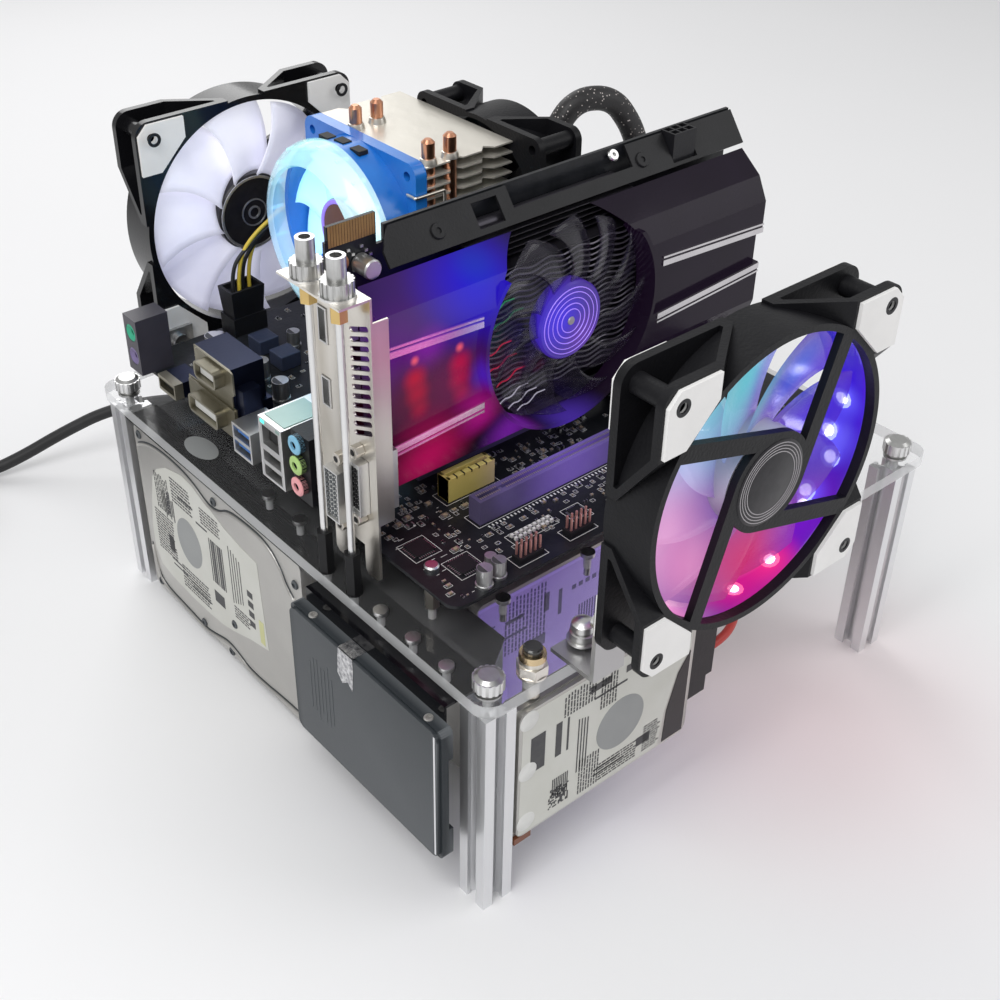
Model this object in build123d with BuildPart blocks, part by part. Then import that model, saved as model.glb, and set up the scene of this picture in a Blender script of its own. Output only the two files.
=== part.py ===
from build123d import *

import math
import os

# An open air computer test bench: a clear deck on four slotted legs, with a board, a tower cooler,
# an upright card, fans, drives and a power supply. Millimetres. The row's origin is on the floor, midway
# between the legs. X runs along the deck's front edge, Y runs back, Z is up.
# Places are written from the foot of the front leg, or from the board's front corner on the port side.

os.makedirs("parts", exist_ok=True)

BASE = (Align.CENTER, Align.CENTER, Align.MIN)

# Legs and deck
LEG_SPAN_X = 245.6
LEG_SPAN_Y = 273.4
LEG_SIDE = 15.0
LEG_HEIGHT = 106.0
LEG_MOUTH = 5.2
LEG_LIP = 1.6
LEG_CHAMBER_WIDTH = 8.2
LEG_CHAMBER_DEPTH = 2.6
LEG_BORE = 2.1
DECK_THICKNESS = 6.0
DECK_NEAR_OVERHANG = 8.0
DECK_FAR_OVERHANG = 16.4
DECK_CORNER = 8.0
DECK_TOP = LEG_HEIGHT + DECK_THICKNESS

# Screws and their holes
SCREW_RADIUS = 1.4
SCREW_HOLE = 1.7
SCREW_HEAD_RADIUS = 3.1
SCREW_HEAD_HEIGHT = 2.0
SCREW_REACH = 10.0
CLAMP_REACH = 12.0
THUMB_HEAD_RADIUS = 6.25
THUMB_NECK_RADIUS = 4.0
THUMB_SHANK_RADIUS = 2.0
KNURLS = 16

# Board
BOARD_X = 5.5
BOARD_Y = 26.4
BOARD_WIDTH = 226.0
BOARD_DEPTH = 243.6
BOARD_THICKNESS = 1.6
BOARD_CORNER = 6.0
STANDOFF_HEIGHT = 17.4
STANDOFF_ACROSS = 5.5
BOARD_TOP = DECK_TOP + STANDOFF_HEIGHT + BOARD_THICKNESS
BOARD_HOLES = [(9.2, 25.5), (9.2, 80.6), (42.0, 236.6), (164.5, 25.5), (164.5, 236.6),
               (216.5, 25.5), (216.5, 156.6), (216.5, 236.6)]

# Expansion slots and the card that stands in one of them
SLOT_START = 41.5
SLOT_PITCH = 20.32
FIRST_SLOT_Y = 38.0
SLOT_LENGTH = 89.0
SLOT_WIDTH = 7.2
SLOT_HEIGHT = 11.3
SLOT_FLOOR = 2.3
SLOT_KEY = 13.9
SHORT_SLOT_LENGTH = 25.0
CARD_THICKNESS = 1.6
CARD_FIT = 0.15
CARD_SLOT_Y = FIRST_SLOT_Y + 2 * SLOT_PITCH
CARD_Y = BOARD_Y + CARD_SLOT_Y
CARD_FRONT = CARD_Y - CARD_THICKNESS / 2
CARD_START = 8.5
CARD_END = 226.0
CARD_SOCKET = (183.0, 196.5)
CARD_BOTTOM = BOARD_TOP + 12.0
CARD_TOP = BOARD_TOP + 121.0
FINGER_TIP = BOARD_TOP + 3.5
CARD_NOTCH = 7.0
CARD_TAB = (9.5, 31.5, 35.0)
CARD_TAB_RISE = 6.0
CARD_HOLES = [(14.0, CARD_TOP - 14.0), (14.0, CARD_BOTTOM + 7.0), (218.0, CARD_BOTTOM + 7.0)]

# Card bracket and the rods that hold its tab
BRACKET_X = 2.1
BRACKET_SHEET = 0.9
BRACKET_NEAR = 68.6
BRACKET_FAR = 107.4
BRACKET_BOTTOM = BOARD_TOP + 2.0
BRACKET_TOP = BOARD_TOP + 115.0
TONGUE_WIDTH = 9.9
TONGUE_TIP = DECK_TOP + 7.0
TONGUE_CUT = 2.0
TAB_REACH = 13.0
ROD_X = -4.6
ROD_YS = (78.0, 97.0)
ROD_RADIUS = 1.5
ROD_TOP = BOARD_TOP + 121.0
SPACER_ACROSS = 6.0
SPACER_HEIGHT = 20.0
ROD_WASHER = 0.5
BRASS_HEIGHT = 9.0

# Card shroud, its fan and heatsink
SHROUD_START = 15.0
SHROUD_FACE = 77.0
SHROUD_WALL = 1.8
BAND_DEPTH = 3.0
SHROUD_BACK = 94.0
SHROUD_SHOULDER = BOARD_TOP + 94.0
SHROUD_SLANT = 5.4
# Heights of the shroud's section above the card's lower edge, from its lower back to its upper back
SHROUD_HEIGHTS = (0.5, 7.0, 25.0, 74.0, 84.5, 93.5)
CARD_FAN_X = 111.2
CARD_FAN_Z = BOARD_TOP + 64.2
CARD_FAN_OPENING = 46.5
CARD_FAN_TIP = 45.0
CARD_FAN_HUB = 17.5
CARD_FAN_BACK = 86.5
SINK_FRONT = 88.5
SINK_BACK = 102.2
SINK_START = 66.0
SINK_END = 158.0
SINK_PLATES = 31
SINK_PLATE = 0.5
SINK_PITCH = 2.54
SINK_BOTTOM = CARD_BOTTOM + 17.0
CARD_CHIP = 38.0

# Tower cooler
COOLER_X = 111.0
COOLER_Y = 192.5
PIPE_X_GAP = 12.0
PIPE_SPAN = 53.0
PIPE_RADIUS = 3.0
PIPE_BEND = 9.0
PIPE_FIT = 0.1
PIPE_Z = BOARD_TOP + 16.0
PIPE_TIP = BOARD_TOP + 118.0
FIN_START = 101.0
FIN_END = 150.0
FIN_NEAR = 162.0
FIN_FAR = 245.0
FIN_BOTTOM = BOARD_TOP + 25.0
FIN_TOP = BOARD_TOP + 107.0
FIN_PLATES = 18
FIN_THICKNESS = 0.7
SOCKET_HEIGHT = 4.5
PACKAGE_HEIGHT = 2.5

# Cooler fans: places of their axes and sizes
DUCT_FAN_Y = 204.0
DUCT_FAN_Z = BOARD_TOP + 67.0
DUCT_FAN_SIZE = 84.0
DUCT_FLANGE = 6.0
DUCT_LENGTH = 14.0
DUCT_BORE = 39.5
DUCT_WALL = 2.5
RING_DEPTH = 14.0
RING_MOUTH = 34.0
RING_WALL = 2.0
PULL_FAN_Y = 187.5
PULL_FAN_Z = BOARD_TOP + 68.0
PULL_FAN_SIZE = 88.0

# Case fans
FAN_SIZE = 120.0
FAN_DEPTH = 25.0
FAN_HOLE_SPACING = 105.0
FAN_HOLE = 2.2
FAN_PAD = 1.5
FAN_WALL = 3.0
FAN_FLANGE = 3.5
FAN_HUB = 20.0
FAN_STRUT = 3.0
FAN_LEAN = 17.0
EAR_NEAR_MIDDLE = 1 / 12
EAR_FLAT = 0.28
EAR_END = 5.0
PAD_SIDE = 24.0
PAD_CUT = 14.0
PAD_INSET = 1.0
BLADE_GAP = 1.5
SPIN_GAP = 0.5
SHAFT_RADIUS = 1.5
SHAFT_FIT = 0.05
FRONT_FAN_X = 90.1
FRONT_FAN_Y = -46.4
FRONT_FAN_Z = DECK_TOP + 78.8
REAR_FAN_X = 84.9
REAR_FAN_Y = 278.6
REAR_FAN_Z = DECK_TOP + 68.6

# Drives and their sheet brackets
LARGE_DRIVE = (147.0, 101.6, 26.1)
SOLID_DRIVE = (100.0, 69.85, 7.0)
SMALL_DRIVE = (100.0, 69.85, 9.5)
SHEET = 1.2
FOOT_SHEET = 2.0
OUTER_DRIVE_X = -6.4
OUTER_DRIVE_GAP = 4.4
OUTER_DRIVE_Y = LEG_SPAN_Y - LEG_SIDE / 2 - OUTER_DRIVE_GAP - LARGE_DRIVE[0]
INNER_DRIVE_X = 31.0
INNER_DRIVE_Y = 45.0
SOLID_DRIVE_X = -13.8
SOLID_DRIVE_Y = 3.8
SOLID_DRIVE_Z = LEG_HEIGHT - 76.8
SMALL_DRIVE_X = 7.9
SMALL_DRIVE_Y = 1.6
SMALL_DRIVE_Z = LEG_HEIGHT - 75.5
BRACKET_LOW = LEG_HEIGHT - 79.0
BAND_SHEET = (-7.8, 9.0)
LEG_CLEARANCE = 1.5
SOLID_WALL = (LEG_SIDE / 2 + LEG_CLEARANCE, 100.0)
SMALL_WALL = (12.0, 100.0)
SMALL_FLANGE = 41.0

# Power supply
SUPPLY_X = 60.0
SUPPLY_Y = 100.0
SUPPLY = (150.0, 140.0, 86.0)
INLET = (85.0, 43.0)
OUTLET = (190.0, 45.0)
OUTLET_RADIUS = 24.0

# Push button
BUTTON_X = 19.5
BUTTON_Y = -2.3
BUTTON_SHANK = 3.5
BUTTON_CAP = 3.8
BUTTON_NUT_ACROSS = 11.0
BUTTON_FIT = 0.1
BUTTON_TRAVEL = 1.0

# Leads
MAIN_CABLE = 12.5
CPU_CABLE = 7.0
CPU_WIRE = 2.0
DRIVE_LEAD = 4.0
MAINS_DIAMETER = 7.0
COIL_MEAN_RADIUS = 35.0
COIL_TURNS_WIDE = 3
COIL_LAYERS = 2
COIL_CENTRE = (-93.3, 395.0)

LEG_CENTRES = [(0.0, 0.0), (LEG_SPAN_X, 0.0), (0.0, LEG_SPAN_Y), (LEG_SPAN_X, LEG_SPAN_Y)]

# Places of the pan head screws that pass through the deck
SOLID_SCREWS = [(-3.9, 19.8), (-3.9, 40.4), (-3.9, 61.1)]
SMALL_SCREWS = [(38.3, 36.0), (85.0, 36.0)]
OUTER_SCREWS = [(5.0, OUTER_DRIVE_Y + 16.8), (5.0, OUTER_DRIVE_Y + 41.0)]
INNER_SCREWS = [(62.0, 58.0), (122.0, 58.0)]
FRONT_BRACKET_SCREWS = [(44.0, -3.6), (136.2, -3.6)]
REAR_BRACKET_SCREWS = [(REAR_FAN_X - FAN_HOLE_SPACING / 2, 271.5), (REAR_FAN_X + FAN_HOLE_SPACING / 2, 271.5)]
PLATE_SCREWS = SOLID_SCREWS + SMALL_SCREWS + OUTER_SCREWS + INNER_SCREWS


def from_leg(x, y, z=0.0):
    """A point measured from the foot of the front leg."""
    return (x - LEG_SPAN_X / 2, y - LEG_SPAN_Y / 2, z)


def level(z, x=0.0, y=0.0):
    """A level plane whose local origin is measured from the front leg."""
    return Plane(origin=from_leg(x, y, z))


def on_board(x=0.0, y=0.0, z=0.0):
    """A level plane measured from the board's front corner and its top face."""
    return level(BOARD_TOP + z, BOARD_X + x, BOARD_Y + y)


def facing_front(y):
    """An upright plane at depth y: local x runs right, local y runs up, and it looks forward."""
    return Plane(origin=from_leg(0, y), x_dir=(1, 0, 0), z_dir=(0, -1, 0))


def facing_right(x):
    """An upright plane at x: local x runs back, local y runs up, and it looks right."""
    return Plane(origin=from_leg(x, 0), x_dir=(0, 1, 0), z_dir=(1, 0, 0))


def save(piece, name):
    """Labels a finished piece and writes it."""
    piece.part.label = name
    export_step(piece.part, f"parts/{name}.step")


def span_box(start, end, near, far, low, high):
    """Adds a block given by its sides, measured from the front leg."""
    with Locations(from_leg((start + end) / 2, (near + far) / 2, (low + high) / 2)):
        Box(end - start, far - near, high - low)


def cord_path(points):
    """Straight runs joined by arcs, each as large as its two runs allow."""
    points = [Vector(*p) for p in points]
    radii = []
    for before, here, after in zip(points, points[1:], points[2:]):
        come = here - before
        leave = after - here
        turn = math.radians(come.get_angle(leave))
        radii.append(0.45 * min(come.length, leave.length) / math.tan(turn / 2))
    return points, radii


def tube(points, diameter, name):
    """A round tube along a route, with its radii and its volume set against its length."""
    points, radii = cord_path(points)
    with BuildPart() as piece:
        with BuildLine() as route:
            FilletPolyline(*points, radius=radii)
        path = route.wires()[0]
        with BuildSketch(Plane(origin=path @ 0, z_dir=path % 0)):
            Circle(diameter / 2)
        sweep(path=path)
    expected = math.pi * diameter**2 / 4 * path.length
    print(name, "length", round(path.length, 1), "radii", [round(r, 1) for r in radii],
          "volume ratio", round(piece.part.volume / expected, 4))
    return piece


# Legs: square slotted profiles, their cut ends on the floor
with BuildPart() as legs:
    with BuildSketch(level(0)):
        with Locations(*LEG_CENTRES):
            Rectangle(LEG_SIDE, LEG_SIDE)
            Circle(LEG_BORE, mode=Mode.SUBTRACT)
            with PolarLocations(LEG_SIDE / 2, 4):
                Rectangle(2 * LEG_LIP, LEG_MOUTH, mode=Mode.SUBTRACT)
            with PolarLocations(LEG_SIDE / 2 - LEG_LIP - LEG_CHAMBER_DEPTH / 2, 4):
                Trapezoid(LEG_CHAMBER_WIDTH, LEG_CHAMBER_DEPTH, 60, rotation=90, mode=Mode.SUBTRACT)
    extrude(amount=LEG_HEIGHT)
save(legs, "legs")

# Deck: one clear plate with a hole for everything that is screwed to it
deck_width = LEG_SPAN_X + DECK_NEAR_OVERHANG + DECK_FAR_OVERHANG
deck_depth = LEG_SPAN_Y + DECK_NEAR_OVERHANG + DECK_FAR_OVERHANG
standoff_places = [(BOARD_X + x, BOARD_Y + y) for x, y in BOARD_HOLES]
rod_places = [(ROD_X, y) for y in ROD_YS]
with BuildPart() as deck_plate:
    with BuildSketch(level(LEG_HEIGHT)):
        with Locations((deck_width / 2 - DECK_NEAR_OVERHANG, deck_depth / 2 - DECK_NEAR_OVERHANG)):
            RectangleRounded(deck_width, deck_depth, DECK_CORNER)
        with Locations(*LEG_CENTRES):
            Circle(THUMB_SHANK_RADIUS + 0.2, mode=Mode.SUBTRACT)
        with Locations(*standoff_places, *rod_places, *PLATE_SCREWS, *FRONT_BRACKET_SCREWS,
                       *REAR_BRACKET_SCREWS):
            Circle(SCREW_HOLE, mode=Mode.SUBTRACT)
        with Locations((BUTTON_X, BUTTON_Y)):
            Circle(BUTTON_SHANK + BUTTON_FIT, mode=Mode.SUBTRACT)
    extrude(amount=DECK_THICKNESS)
save(deck_plate, "deck_plate")


def knurled_disc(radius, height):
    """Adds a disc with a notched rim to the part being built, standing on the current places."""
    with BuildPart(mode=Mode.PRIVATE) as disc:
        with BuildSketch():
            Circle(radius)
            with PolarLocations(radius, KNURLS):
                Rectangle(0.8, 1.1, mode=Mode.SUBTRACT)
        extrude(amount=height)
    add(disc.part)


# Knurled screws at the deck's corners, each with a washer
with BuildPart(level(DECK_TOP)) as corner_thumb_screws:
    with Locations(*LEG_CENTRES):
        Cylinder(5.4, 1.0, align=BASE)
        with Locations((0, 0, 1.0)):
            Cylinder(THUMB_NECK_RADIUS, 2.0, align=BASE)
        with Locations((0, 0, 3.0)):
            knurled_disc(THUMB_HEAD_RADIUS, 5.0)
        with Locations((0, 0, 8.0)):
            Cone(THUMB_HEAD_RADIUS - 0.6, THUMB_NECK_RADIUS, 1.0, align=BASE)
        with Locations((0, 0, -DECK_THICKNESS - SCREW_REACH)):
            Cylinder(THUMB_SHANK_RADIUS, DECK_THICKNESS + SCREW_REACH, align=BASE)
save(corner_thumb_screws, "corner_thumb_screws")

# Hex standoffs that carry the board, each with a stud in the deck
with BuildPart() as board_standoffs:
    with BuildSketch(level(DECK_TOP)):
        with Locations(*standoff_places):
            RegularPolygon(STANDOFF_ACROSS / 2, 6, major_radius=False)
    extrude(amount=STANDOFF_HEIGHT)
    with BuildSketch(level(DECK_TOP + STANDOFF_HEIGHT)):
        with Locations(*standoff_places):
            Circle(SCREW_RADIUS + 0.1)
    extrude(amount=-SCREW_REACH, mode=Mode.SUBTRACT)
    with BuildSketch(level(DECK_TOP)):
        with Locations(*standoff_places):
            Circle(SCREW_RADIUS + 0.1)
    extrude(amount=-DECK_THICKNESS)
save(board_standoffs, "board_standoffs")

# Pan head screws: those of the board, those through the deck, and those that clamp the fans to their brackets
board_screw_places = [(x, y, BOARD_TOP) for x, y in standoff_places]
plate_screw_places = [(x, y, DECK_TOP) for x, y in PLATE_SCREWS]
foot_screw_places = [(x, y, DECK_TOP + FOOT_SHEET) for x, y in FRONT_BRACKET_SCREWS + REAR_BRACKET_SCREWS]
front_sheet_y = FRONT_FAN_Y + FAN_DEPTH
rear_sheet_y = REAR_FAN_Y
clamp_screws = []
for side in (-1, 1):
    clamp_screws.append((FRONT_FAN_X + side * FAN_HOLE_SPACING / 2, FRONT_FAN_Z - FAN_HOLE_SPACING / 2,
                         front_sheet_y + FOOT_SHEET, -CLAMP_REACH))
    clamp_screws.append((REAR_FAN_X + side * FAN_HOLE_SPACING / 2, REAR_FAN_Z - FAN_HOLE_SPACING / 2,
                         rear_sheet_y - FOOT_SHEET, CLAMP_REACH))
with BuildPart(level(0)) as pan_head_screws:
    with Locations(*board_screw_places, *plate_screw_places, *foot_screw_places):
        Cylinder(SCREW_HEAD_RADIUS, SCREW_HEAD_HEIGHT, align=BASE)
    chamfer(faces().filter_by(Axis.Z).group_by(Axis.Z)[-1].edges(), 0.6)
    with Locations(*board_screw_places):
        Cylinder(SCREW_RADIUS, 8.0, align=(Align.CENTER, Align.CENTER, Align.MAX))
    with Locations(*plate_screw_places, *foot_screw_places):
        Cylinder(SCREW_RADIUS, SCREW_REACH, align=(Align.CENTER, Align.CENTER, Align.MAX))
    for x, z, head_y, reach in clamp_screws:
        with BuildSketch(facing_front(head_y)) as clamp_shank:
            with Locations((x, z)):
                Circle(FAN_HOLE - 0.15)
        extrude(to_extrude=clamp_shank.sketch, amount=-reach)
        with BuildSketch(facing_front(head_y)) as clamp_head:
            with Locations((x, z)):
                Circle(4.0)
        extrude(to_extrude=clamp_head.sketch, amount=math.copysign(2.4, reach))
save(pan_head_screws, "pan_head_screws")

# Motherboard
with BuildPart() as motherboard:
    with BuildSketch(on_board(z=-BOARD_THICKNESS)):
        with Locations((BOARD_WIDTH / 2, BOARD_DEPTH / 2)):
            RectangleRounded(BOARD_WIDTH, BOARD_DEPTH, BOARD_CORNER)
        with Locations(*BOARD_HOLES):
            Circle(SCREW_HOLE, mode=Mode.SUBTRACT)
    extrude(amount=BOARD_THICKNESS)
save(motherboard, "motherboard")


def port_block(start, end, near, far, low, high):
    """Adds a connector's body: a block given by its sides, measured from the board's corner."""
    with BuildSketch(facing_right(BOARD_X + start)) as side:
        with Locations((BOARD_Y + (near + far) / 2, BOARD_TOP + (low + high) / 2)):
            Rectangle(far - near, high - low)
    extrude(to_extrude=side.sketch, amount=end - start)


def sink_mouths(start, depth, mouths):
    """Sinks mouths into the outer face: (y, z, width, height), or (y, z, radius)."""
    with BuildSketch(facing_right(BOARD_X + start)) as outline:
        for mouth in mouths:
            with Locations((BOARD_Y + mouth[0], BOARD_TOP + mouth[1])):
                if len(mouth) == 3:
                    Circle(mouth[2])
                else:
                    Rectangle(mouth[2], mouth[3])
    extrude(to_extrude=outline.sketch, amount=depth, mode=Mode.SUBTRACT)


# Board edge ports. Their outer faces stand proud of the board's edge.
# Each body is (start, end, near, far, low, high) from the board's corner and its top face.
PORT_FACE = -6.5
ROUND_BODY = (PORT_FACE, 10.5, 226.6, 238.6, 0, 29)
ROUND_SOCKET_HEIGHTS = (21.0, 8.5)
ROUND_SOCKET_RADIUS = 4.4
VIDEO_BODIES = [(-1.5, 17.0, 148.0, 188.6, 0, 17), (-1.5, 15.5, 150.6, 180.6, 17, 36),
                (0.5, 9.5, 144.6, 150.6, 0, 27), (PORT_FACE + 1, 9.0, 197.0, 212.0, 0, 8)]

with BuildPart() as round_port:
    port_block(*ROUND_BODY)
    round_middle = (ROUND_BODY[2] + ROUND_BODY[3]) / 2
    sink_mouths(PORT_FACE, 9.0, [(round_middle, z, ROUND_SOCKET_RADIUS) for z in ROUND_SOCKET_HEIGHTS])
save(round_port, "round_port")

with BuildPart() as video_ports:
    for video_body in VIDEO_BODIES:
        port_block(*video_body)
    with BuildSketch(facing_right(BOARD_X - 1.5)) as shells:
        with Locations((BOARD_Y + 163.1, BOARD_TOP + 30)):
            RectangleRounded(31, 12, 1.5)
        with Locations((BOARD_Y + 168.3, BOARD_TOP + 9)):
            RectangleRounded(39, 15, 1.5)
    extrude(to_extrude=shells.sketch, amount=-0.8)
    with BuildSketch(facing_right(BOARD_X - 2.3)) as collars:
        with Locations((BOARD_Y + 163.1, BOARD_TOP + 30)):
            RectangleRounded(18, 9, 3)
        with Locations((BOARD_Y + 168.3, BOARD_TOP + 9)):
            RectangleRounded(25, 9.5, 3)
    extrude(to_extrude=collars.sketch, amount=-5)
    sink_mouths(-7.3, 4.2, [(163.1, 30.0, 15.5, 6.5), (168.3, 9.0, 22.5, 7.0)])
    sink_mouths(PORT_FACE + 1, 7.0, [(204.5, 4.0, 13.0, 4.6)])
save(video_ports, "video_ports")

with BuildPart() as socket_stacks:
    port_block(PORT_FACE, 11.0, 129.6, 144.6, 0, 15.5)
    sink_mouths(PORT_FACE, 10.0, [(137.1, 4.2, 12.6, 5.4), (137.1, 11.4, 12.6, 5.4)])
    port_block(PORT_FACE, 21.0, 104.2, 121.6, 0, 30)
    sink_mouths(PORT_FACE, 12.0, [(112.9, 22.0, 12.0, 9.5), (112.9, 4.0, 13.0, 5.4), (112.9, 11.6, 13.0, 5.4)])
save(socket_stacks, "socket_stacks")

AUDIO_HEIGHTS = (8.5, 19.0, 29.0)
with BuildPart() as audio_ports:
    port_block(-4.0, 8.0, 87.6, 100.6, 0, 33)
    with BuildSketch(facing_right(BOARD_X - 4.0)) as bushes:
        with Locations(*[(BOARD_Y + 94.1, BOARD_TOP + z) for z in AUDIO_HEIGHTS]):
            Circle(4.3)
    extrude(to_extrude=bushes.sketch, amount=-2.5)
    sink_mouths(PORT_FACE, 9.0, [(94.1, z, 1.8) for z in AUDIO_HEIGHTS])
save(audio_ports, "audio_ports")


# Expansion slots: a long slot at the front, a short one behind it, and the one that holds the card
def slot_body(y, length):
    """Adds one slot with a groove for a card's edge and a key bar across the groove."""
    with Locations((SLOT_START + length / 2, y)):
        Box(length, SLOT_WIDTH, SLOT_HEIGHT, align=BASE)
        with Locations((0, 0, SLOT_FLOOR)):
            Box(length - 3.4, CARD_THICKNESS + 2 * CARD_FIT, SLOT_HEIGHT, align=BASE, mode=Mode.SUBTRACT)
    with Locations((SLOT_START + SLOT_KEY, y, SLOT_FLOOR)):
        Box(1.6, CARD_THICKNESS + 2 * CARD_FIT, SLOT_HEIGHT - SLOT_FLOOR - 1, align=BASE)


with BuildPart(on_board()) as expansion_slots:
    slot_body(FIRST_SLOT_Y, SLOT_LENGTH)
    slot_body(FIRST_SLOT_Y + SLOT_PITCH, SHORT_SLOT_LENGTH)
    slot_body(CARD_SLOT_Y, SLOT_LENGTH)
save(expansion_slots, "expansion_slots")

# Memory slots behind the cooler, with a module standing in each
MEMORY_XS = (182.5, 192.5)
MEMORY_Y = 160.6
MEMORY_LENGTH = 140.0
MODULE = (1.3, 133.3, 30.0)
with BuildPart(on_board()) as memory_slots:
    with Locations(*[(x, MEMORY_Y) for x in MEMORY_XS]):
        Box(6.5, MEMORY_LENGTH, 9.0, align=BASE)
        with Locations((0, 0, 3.0)):
            Box(MODULE[0] + 2 * CARD_FIT, MODULE[1] + 2 * CARD_FIT, 9.0, align=BASE, mode=Mode.SUBTRACT)
        with Locations((0, MEMORY_LENGTH / 2 - 1.5, 9.0), (0, 1.5 - MEMORY_LENGTH / 2, 9.0)):
            Box(5.0, 3.0, 8.0, align=BASE)
save(memory_slots, "memory_slots")

with BuildPart(on_board(z=3.0)) as memory_modules:
    with Locations(*[(x, MEMORY_Y) for x in MEMORY_XS]):
        Box(*MODULE, align=BASE)
        with Locations(*[(-MODULE[0] / 2 - 0.5, (i - 3.5) * 16, 12) for i in range(8)]):
            Box(1.0, 11.0, 10.0, align=BASE)
save(memory_modules, "memory_modules")

# Power sockets, two on the board and one on the card, and the plugs
CPU_PLUG = (57.0, 236.6)
CPU_PLUG_SIZE = (17.0, 11.0)
MAIN_PLUG = (217.5, 194.6)
MAIN_PLUG_SIZE = (8.6, 50.0)
PLUG_WALL = 0.9
PLUG_FIT = 0.1
SOCKET_CUP = 9.5
PLUG_TOP = 24.0

with BuildPart() as power_sockets:
    for place, size in ((CPU_PLUG, CPU_PLUG_SIZE), (MAIN_PLUG, MAIN_PLUG_SIZE)):
        with Locations(from_leg(BOARD_X + place[0], BOARD_Y + place[1], BOARD_TOP)):
            Box(size[0] + 2 * PLUG_WALL, size[1] + 2 * PLUG_WALL, SOCKET_CUP, align=BASE)
            with Locations((0, 0, 2.0)):
                Box(size[0], size[1], SOCKET_CUP, align=BASE, mode=Mode.SUBTRACT)
    span_box(CARD_SOCKET[0], CARD_SOCKET[1], CARD_FRONT - 8.2, CARD_FRONT, CARD_TOP - 12.5, CARD_TOP + 0.5)
    with Locations(from_leg(sum(CARD_SOCKET) / 2, CARD_FRONT - 4.1, CARD_TOP + 0.5)):
        with GridLocations(4.2, 3.9, 3, 2):
            Box(3.4, 3.1, 16.0, mode=Mode.SUBTRACT)
save(power_sockets, "power_sockets")

DRIVE_PLUG_Z = SMALL_DRIVE_Z + SMALL_DRIVE[1] / 2
drive_end = SMALL_DRIVE_X + SMALL_DRIVE[0]
with BuildPart() as power_plugs:
    for place, size in ((CPU_PLUG, CPU_PLUG_SIZE), (MAIN_PLUG, MAIN_PLUG_SIZE)):
        lower = (size[0] - 2 * PLUG_FIT, size[1] - 2 * PLUG_FIT)
        with Locations(from_leg(BOARD_X + place[0], BOARD_Y + place[1], BOARD_TOP + 2.0)):
            Box(*lower, SOCKET_CUP, align=BASE)
        with BuildSketch(on_board(z=2.0 + SOCKET_CUP - 2.0)) as waist:
            with Locations(place):
                Rectangle(*lower)
        with BuildSketch(on_board(z=PLUG_TOP)) as crown:
            with Locations(place):
                Rectangle(size[0] + 2.0, size[1] + 2.0)
        loft(sections=[waist.sketch, crown.sketch])
        with BuildSketch(on_board(z=PLUG_TOP)) as mouth:
            with Locations(place):
                Rectangle(size[0] - 1.0, size[1] - 1.0)
        extrude(to_extrude=mouth.sketch, amount=-3.0, mode=Mode.SUBTRACT)
    span_box(drive_end, drive_end + 12.0, SMALL_DRIVE_Y - 7.5, SMALL_DRIVE_Y - 0.5, DRIVE_PLUG_Z - 20,
             DRIVE_PLUG_Z + 20)
    span_box(drive_end + 12.0, drive_end + 17.0, SMALL_DRIVE_Y - 6.5, SMALL_DRIVE_Y - 1.5, DRIVE_PLUG_Z - 13,
             DRIVE_PLUG_Z + 13)
save(power_plugs, "power_plugs")

# Small silver cans: (x, y, radius, height)
CANS = [(31.7, 223.9, 4.2, 10.0), (36.3, 189.2, 4.0, 10.0), (33.5, 167.9, 4.0, 10.0), (66.0, 206.0, 3.2, 8.0),
        (18.5, 4.6, 3.2, 8.5), (26.4, 5.4, 3.0, 8.0), (28.2, 12.4, 2.4, 5.0)]
with BuildPart(on_board()) as board_cans:
    for x, y, radius, height in CANS:
        with Locations((x, y)):
            Cylinder(radius + 0.4, 1.0, align=BASE)
            Cylinder(radius, height, align=BASE)
save(board_cans, "board_cans")

# Two square chokes, and the larger chips with a small finned block on one of them
CHOKES = [(52.5, 212.0), (52.5, 193.0)]
CHIPS = [(20.0, 18.5, 9.0), (12.8, 38.0, 9.0), (78.0, 16.0, 6.0), (90.0, 212.0, 7.0), (75.0, 193.0, 6.0)]
FINNED_BLOCK = (168.0, 60.0, 34.0)
with BuildPart(on_board()) as board_chips:
    with Locations(*CHOKES):
        Box(10.6, 10.6, 7.5, align=BASE)
    chamfer(faces().filter_by(Axis.Z).group_by(Axis.Z)[-1].edges(), 0.7)
    for x, y, side in CHIPS:
        with Locations((x, y)):
            Box(side, side, 1.2, align=BASE)
    with Locations(FINNED_BLOCK[:2]):
        Box(FINNED_BLOCK[2], FINNED_BLOCK[2], 3.0, align=BASE)
        with Locations(*[(0, (i - 3) * 5.0, 3.0) for i in range(7)]):
            Box(FINNED_BLOCK[2], 1.6, 8.0, align=BASE)
save(board_chips, "board_chips")

# Two rows of pins near the front edge
HEADERS = [(43.5, 7.4), (70.5, 7.4)]
PIN_PITCH = 2.54
with BuildPart(on_board()) as pin_headers:
    with Locations(*HEADERS):
        Box(5 * PIN_PITCH, 2 * PIN_PITCH, 2.5, align=BASE)
        with Locations((0, 0, 2.5)):
            with GridLocations(PIN_PITCH, PIN_PITCH, 5, 2):
                Box(0.64, 0.64, 6.0, align=BASE)
save(pin_headers, "pin_headers")

# CPU socket with the package in it, under the cooler's base
with BuildPart(level(BOARD_TOP, COOLER_X, COOLER_Y)) as cpu_socket:
    Box(45, 45, SOCKET_HEIGHT, align=BASE)
    with Locations((0, 0, SOCKET_HEIGHT)):
        Box(37.5, 37.5, PACKAGE_HEIGHT, align=BASE)
save(cpu_socket, "cpu_socket")

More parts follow.
